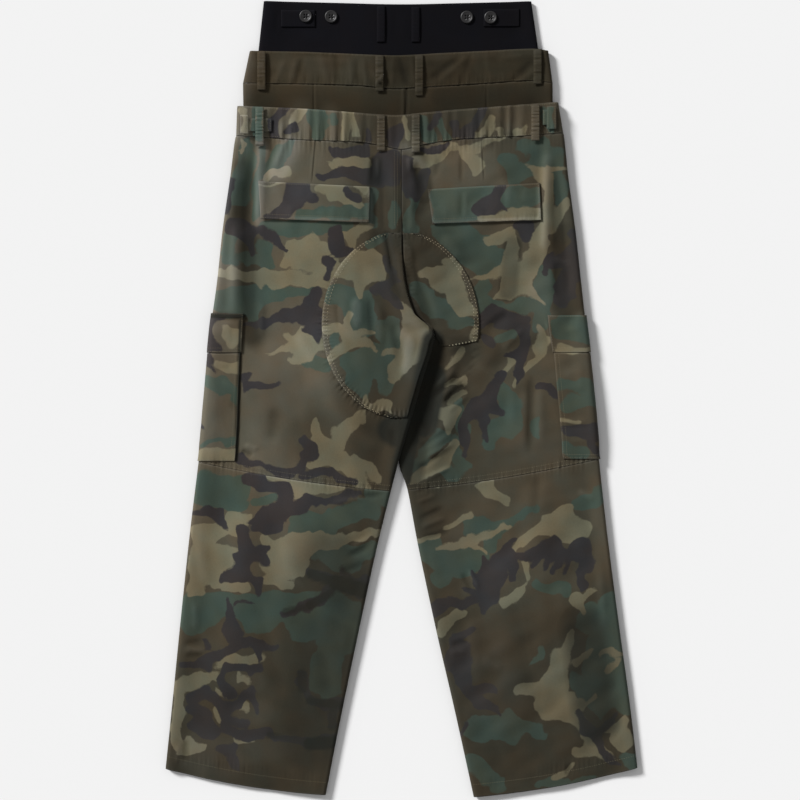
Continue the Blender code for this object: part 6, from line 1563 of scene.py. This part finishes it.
def middle_relief(x, y, down):
    """Crumples of the olive band, with puckers at its seam and its top edge."""
    small = print_creases(x, y, MIDDLE_CREASES)
    seam = pucker((1.0 - down) * MIDDLE_TALL, x, (12.0, 0.5), 410)
    top = pucker(down * MIDDLE_TALL, x, (6.0, 0.24), 411)
    return 1.7 * small + seam + top + 0.3 * drift(x, y, 26.0, 412) + 0.14 * drift(x, y, 12.0, 415)


def middle_hip_relief(x, y, down):
    """The hip below the band: two darts, the back seam's welt and a few puckers under the seam."""
    seam = pucker(down * 80.0, x, (9.0, 0.26), 413)
    darts = sum(0.5 * np.exp(-((x - at - 1.4) / 1.3) ** 2) - 0.9 * np.exp(-((x - at) / 1.2) ** 2)
                for at in MIDDLE_DARTS)
    middle_x = 7.0 - 3.0 * down
    welt = (0.6 * np.exp(-((x - middle_x + 4.0) / 2.6) ** 2) - 1.2 * np.exp(-((x - middle_x) / 1.3) ** 2)
            + 0.35 * np.exp(-((x - middle_x - 4.0) / 3.0) ** 2))
    return seam + darts + welt + 0.26 * drift(x, y, 34.0, 414)


def layer_height(sides, levels, relief=None):
    """Top of one of the inner layers at a plan position."""
    table = np.asarray(levels, float)

    def at(x, y):
        left, right = column_at(sides, y, 1), column_at(sides, y, 2)
        edge = np.minimum(x - left, right - x)
        middle, side = (np.interp(y, table[:, 0], table[:, k]) for k in (2, 3))
        height = middle + (side - middle) * roll_share(edge, EDGE_SPREAD)
        return height if relief is None else height + relief(x, y)
    return at


olive_levels = levels_from(MIDDLE_LEVELS)
middle_low = [(x, y + (SEAM_END_GAP if abs(x) > 200.0 else LAY_GAP)) for x, y in MIDDLE_SEAM]
middle_band = band_grid(edge_line(MIDDLE_TOP), edge_line(middle_low),
                        lambda y: np.add(olive_levels(y), (0.0, 0.6, 0.4)),
                        uneven(MIDDLE_TALL, 2.3, ((0.0, 4.0, 0.9), (MIDDLE_TALL, 3.0, 1.0))),
                        uneven(MIDDLE_WIDE, 2.3), middle_relief)
turned_edges(middle_band, 0.5, 1.2, "tb")
middle_piece = covering("middle_waistband_back", OLIVE, "middle_cloth", middle_band)
hip_zones = tuple((at + 216.0, 4.0, 0.9) for at in (*MIDDLE_DARTS, 5.0))
middle_hip = band_grid(edge_line(MIDDLE_SEAM), level_line(MIDDLE_SIDES, MIDDLE_END), olive_levels,
                       uneven(HIP_TALL, 3.2, ((0.0, 6.0, 1.2),)), uneven(HIP_WIDE, 3.0, hip_zones),
                       middle_hip_relief)
turned_edges(middle_hip, 0.6, 1.2, "t")
hip_piece = covering("middle_back", OLIVE, "middle_cloth", middle_hip)
flat_front("middle_front", OLIVE, "middle_cloth", edge_line(MIDDLE_TOP, -FRONT_DROP),
           level_line(MIDDLE_SIDES, MIDDLE_FRONT_END), lambda y: olive_levels(y)[0], uneven(HIP_TALL, 4.5))
middle_top = layer_height(MIDDLE_SIDES, MIDDLE_LEVELS,
                          lambda x, y: np.maximum(middle_relief(x, y, 0.5), 0.0))
middle_trim = [belt_loop("middle_loop_%d" % number, OLIVE, "middle_cloth", spot, middle_top, 0.8, 10 + number,
                         rumple=0.2)
               for number, spot in enumerate(MIDDLE_LOOPS, 1)]


# ---- black inner waist ------------------------------------------------------------------------------
# The innermost pair shows as a smooth black waistband of fine cloth, with two belt loops, two
# button tabs and four horn buttons.
# the second colour is the black cloth's painted shade colour
BLACK = cloth_material("black twill", srgb(11, 10, 15), srgb(2, 2, 4), 0.0008, 0.35, 0.9, 0.0, 0.3, 0.6)
INNER_TOP = ((-192.5, 556.0), (-100.0, 554.0), (-2.0, 551.8), (90.0, 553.6), (181.5, 555.6))
INNER_END, INNER_TALL, INNER_FRONT_TALL, INNER_WIDE = 430.0, 124.0, 118.0, 390.0
INNER_SIDES = ((430.0, -206.0, 199.6), (470.0, -206.6, 199.8), (489.0, -205.0, 198.0),
               (520.0, -200.6, 190.6), (542.0, -196.2, 184.6), (556.0, -192.5, 181.5))
INNER_LEVELS = ((430.0, 2.2, 5.2, 7.6), (450.0, 1.9, 5.2, 7.6), (478.0, 1.5, 5.2, 7.6),
                (515.0, 0.0, 4.8, 7.4), (560.0, 0.0, 4.8, 7.4))
INNER_LOOPS = ((-28.7, 549.0, 498.6), (19.7, 547.6, 498.6))
INNER_TABS = {"L": (-168.3, -121.0, 543.4, 520.0), "R": (114.7, 164.5, 544.9, 520.6)}
INNER_TAB_LIFT = 0.8 + CLOTH
# columns: x, y, and whether the button sits on a tab
INNER_BUTTONS = ((-133.8, 534.6, 1), (-98.4, 534.4, 0), (91.3, 533.6, 0), (124.3, 532.8, 1))
INNER_CREASES = (       # print units
    (277.8, 10, 276, 36, 2, -0.5), (280, 12, 279, 34, 2, 0.3), (300, 34, 330, 42, 5, 0.3),
    (296, 46, 350, 50, 6, -0.25), (420, 30, 470, 44, 6, 0.25), (520, 12, 524, 34, 2, -0.3),
    (395, 10, 394, 40, 2, -0.3), (404, 12, 404, 44, 3, 0.2), (500, 44, 536, 36, 5, 0.3)
)


def inner_relief(x, y):
    """Soft press marks of the black band and a slight wave from its wear."""
    return print_creases(x, y, INNER_CREASES) + 0.12 * drift(x, y, 44.0, 420)


black_levels = levels_from(INNER_LEVELS)
inner_grid = band_grid(edge_line(INNER_TOP), level_line(INNER_SIDES, INNER_END), black_levels,
                       uneven(INNER_TALL, 3.0, ((0.0, 4.0, 1.0),)), uneven(INNER_WIDE, 3.0),
                       lambda x, y, _down: inner_relief(x, y))
turned_edges(inner_grid, 0.5, 1.2, "t")
inner_piece = covering("inner_back", BLACK, "inner_cloth", inner_grid)
flat_front("inner_front", BLACK, "inner_cloth", edge_line(INNER_TOP, -FRONT_DROP),
           level_line(INNER_SIDES, INNER_END), lambda y: black_levels(y)[0], uneven(INNER_FRONT_TALL, 5.0))
inner_top = layer_height(INNER_SIDES, INNER_LEVELS, lambda x, y: np.maximum(inner_relief(x, y), 0.0))
inner_trim = [belt_loop("inner_loop_%d" % number, BLACK, "inner_cloth", spot, inner_top, 0.1, 20 + number,
                        rumple=0.08, rise=0.8)
              for number, spot in enumerate(INNER_LOOPS, 1)]
inner_trim += [laid_strip("inner_tab_" + side, BLACK, "inner_cloth", box, inner_top, INNER_TAB_LIFT)
               for side, box in INNER_TABS.items()]
THREAD_LEVEL = 1.75     # the crossed threads start this high over a button's underside
button_threads = []
for number, (x, y, on_tab) in enumerate(INNER_BUTTONS, 1):
    around = [inner_top(x + dx, y + dy) for dx in (-9.0, 0.0, 9.0) for dy in (-9.0, 9.0)]
    base = float(np.max(around)) + SEAM_GAP + on_tab * INNER_TAB_LIFT
    horn_button("inner_button_%d_horn" % number, "inner_button_%d" % number, (x, y), base)
    for turn in (0, 1):
        ends = [(x + HOLE_RING * np.cos(a), y + HOLE_RING * np.sin(a), base + THREAD_LEVEL, 0.0, 0.0, 1.0)
                for a in np.pi * np.array([0.25, 1.25]) + turn * np.pi / 2]
        button_threads.append(np.array(ends))


# ---- topstitching -----------------------------------------------------------------------------------
# Each stitch is a short swell of thread that dips into the cloth at both ends.  Rows run beside
# the edges of the sewn pieces, wherever they show; the inner buttons are held by crossed threads.
STITCH = (2.3, 0.62, 0.26, 3.3)         # length, width, height over the cloth, and pitch of the row
PATCH_STITCH, BUTTON_THREAD = (3.0, 1.0, 0.5, 4.6), (4.4, 1.0, 0.6, 4.4)
STITCH_SIDES = ((1, 2, 3), (1, 3, 4), (1, 4, 5), (1, 5, 2), (0, 3, 2), (0, 4, 3), (0, 5, 4), (0, 2, 5))


def line_at(grid, edge, distance, lowest=-1000.0):
    """A row beside an edge (t, b, l or r) of a cloth grid: points and normals where it faces up."""
    normal = sheet_normals(grid)
    both = np.concatenate([grid, normal * np.sign(normal[..., 2].sum())], -1)
    both = {"t": both, "b": both[::-1], "l": both.swapaxes(0, 1), "r": both[:, ::-1].swapaxes(0, 1)}[edge]
    arcs = grid_arcs(both[..., :3])[1]
    line = np.array([[np.interp(distance, arcs[:, j], both[:, j, k]) for k in range(6)]
                     for j in range(both.shape[1])])
    return line[(line[:, 5] > 0.35) & (line[:, 1] > lowest)]


def stitches(name, lines, thread, size=STITCH):
    """All stitches of some rows as one piece: an eight-sided swell for each, evenly pitched."""
    long, wide, high, pitch = size
    points = []
    for line in lines:
        arc = np.concatenate([[0.0], np.cumsum(np.linalg.norm(np.diff(line[:, :3], axis=0), axis=1))])
        trim = min(2.0, 0.1 * arc[-1]) if pitch < arc[-1] / 2 else 0.0
        count = max(int((arc[-1] - 2.0 * trim) / pitch), 1)
        middle = trim + (np.arange(count) + 0.5) * (arc[-1] - 2.0 * trim) / count
        start, centre, end = (np.stack([np.interp(middle + shift, arc, line[:, k]) for k in range(6)], -1)
                              for shift in (-0.5 * long, 0.0, 0.5 * long))
        up = centre[:, 3:] / np.linalg.norm(centre[:, 3:], axis=1, keepdims=True)
        across = np.cross(up, end[:, :3] - start[:, :3])
        across = across / np.linalg.norm(across, axis=1, keepdims=True)
        sunk, side = 0.15 * up, 0.5 * wide * across + 0.04 * up
        points.append(np.stack([start[:, :3] - sunk, end[:, :3] - sunk, centre[:, :3] + side,
                                centre[:, :3] + high * up, centre[:, :3] + 0.08 * up - side,
                                centre[:, :3] - 0.3 * up], 1).reshape(-1, 3))
    points = np.concatenate(points)
    faces = (np.arange(len(points) // 6)[:, None, None] * 6 + np.array(STITCH_SIDES)).reshape(-1, 3)
    return fit(solid_piece(name, points, faces.tolist(), thread), None)


def rows_beside(grid, table):
    """Rows beside several edges of one piece; table has an edge and a distance for each."""
    return [line_at(grid, edge, distance) for edge, distance in table]


PATCH_THREAD, OUTER_THREAD, MIDDLE_THREAD, INNER_THREAD = (
    cloth_material(name + " thread", srgb(*shade), srgb(*shade), 0.0006, 0.0, 0.8, 0.0, 0.3, 0.0)
    for name, shade in (("pale olive", (150, 142, 120)), ("olive drab", (118, 111, 91)),
                        ("olive", (84, 76, 55)), ("black", (20, 19, 24))))
# rows of stitches on a piece: the edge they follow and their distance in from it
PATCH_ROWS = (("l", 2.2), ("l", 7.2))
FLAP_ROWS = (("l", 1.8), ("r", 1.8), ("b", 1.8), ("b", 6.6), ("t", 1.8))
POCKET_ROWS = (("r", 1.8), ("r", 6.4), ("b", 1.8), ("b", 6.4))
POCKET_FLAP_ROWS = (("r", 1.8), ("b", 1.8), ("b", 6.4), ("t", 1.8))
KNEE_ROWS, HEM_ROWS = (("b", 2.0), ("b", 8.0)), (("b", 18.0),)
BACK_SEAM_ROWS, BACK_SEAM_FOOT = (0.8, 5.0), 238.0     # above the patch
BAND_ROWS, INNER_BAND_ROWS = (("t", 2.2), ("b", 2.0)), (("t", 2.2),)
STRIP_ROWS = (("l", 2.0), ("r", 2.0))
rows = sum((rows_beside(grid, PATCH_ROWS) for grid in patches.values()), [])
stitches("patch_topstitching", rows, PATCH_THREAD, PATCH_STITCH)
rows = []
for side in ("L", "R"):
    rows += rows_beside(flaps[side], FLAP_ROWS)
    rows += rows_beside(cargo["pocket", side], POCKET_ROWS)
    rows += rows_beside(cargo["flap", side], POCKET_FLAP_ROWS)
    rows += rows_beside(backs["thigh_" + side], KNEE_ROWS)
    rows += rows_beside(backs["shin_" + side], HEM_ROWS)
rows += [line_at(backs["thigh_L"][:, :-8], "r", distance, BACK_SEAM_FOOT) for distance in BACK_SEAM_ROWS]
rows += rows_beside(outer_band, BAND_ROWS)
for _, grid in outer_trim:
    rows += rows_beside(grid, STRIP_ROWS)
stitches("outer_topstitching", rows, OUTER_THREAD)
rows = rows_beside(middle_band, BAND_ROWS)
for _, grid in middle_trim:
    rows += rows_beside(grid, STRIP_ROWS)
stitches("middle_topstitching", rows, MIDDLE_THREAD)
rows = rows_beside(inner_grid, INNER_BAND_ROWS)
for _, grid in inner_trim:
    rows += rows_beside(grid, (*STRIP_ROWS, ("b", 2.0)))
stitches("inner_topstitching", rows, INNER_THREAD)
stitches("inner_button_threads", button_threads, INNER_THREAD, BUTTON_THREAD)
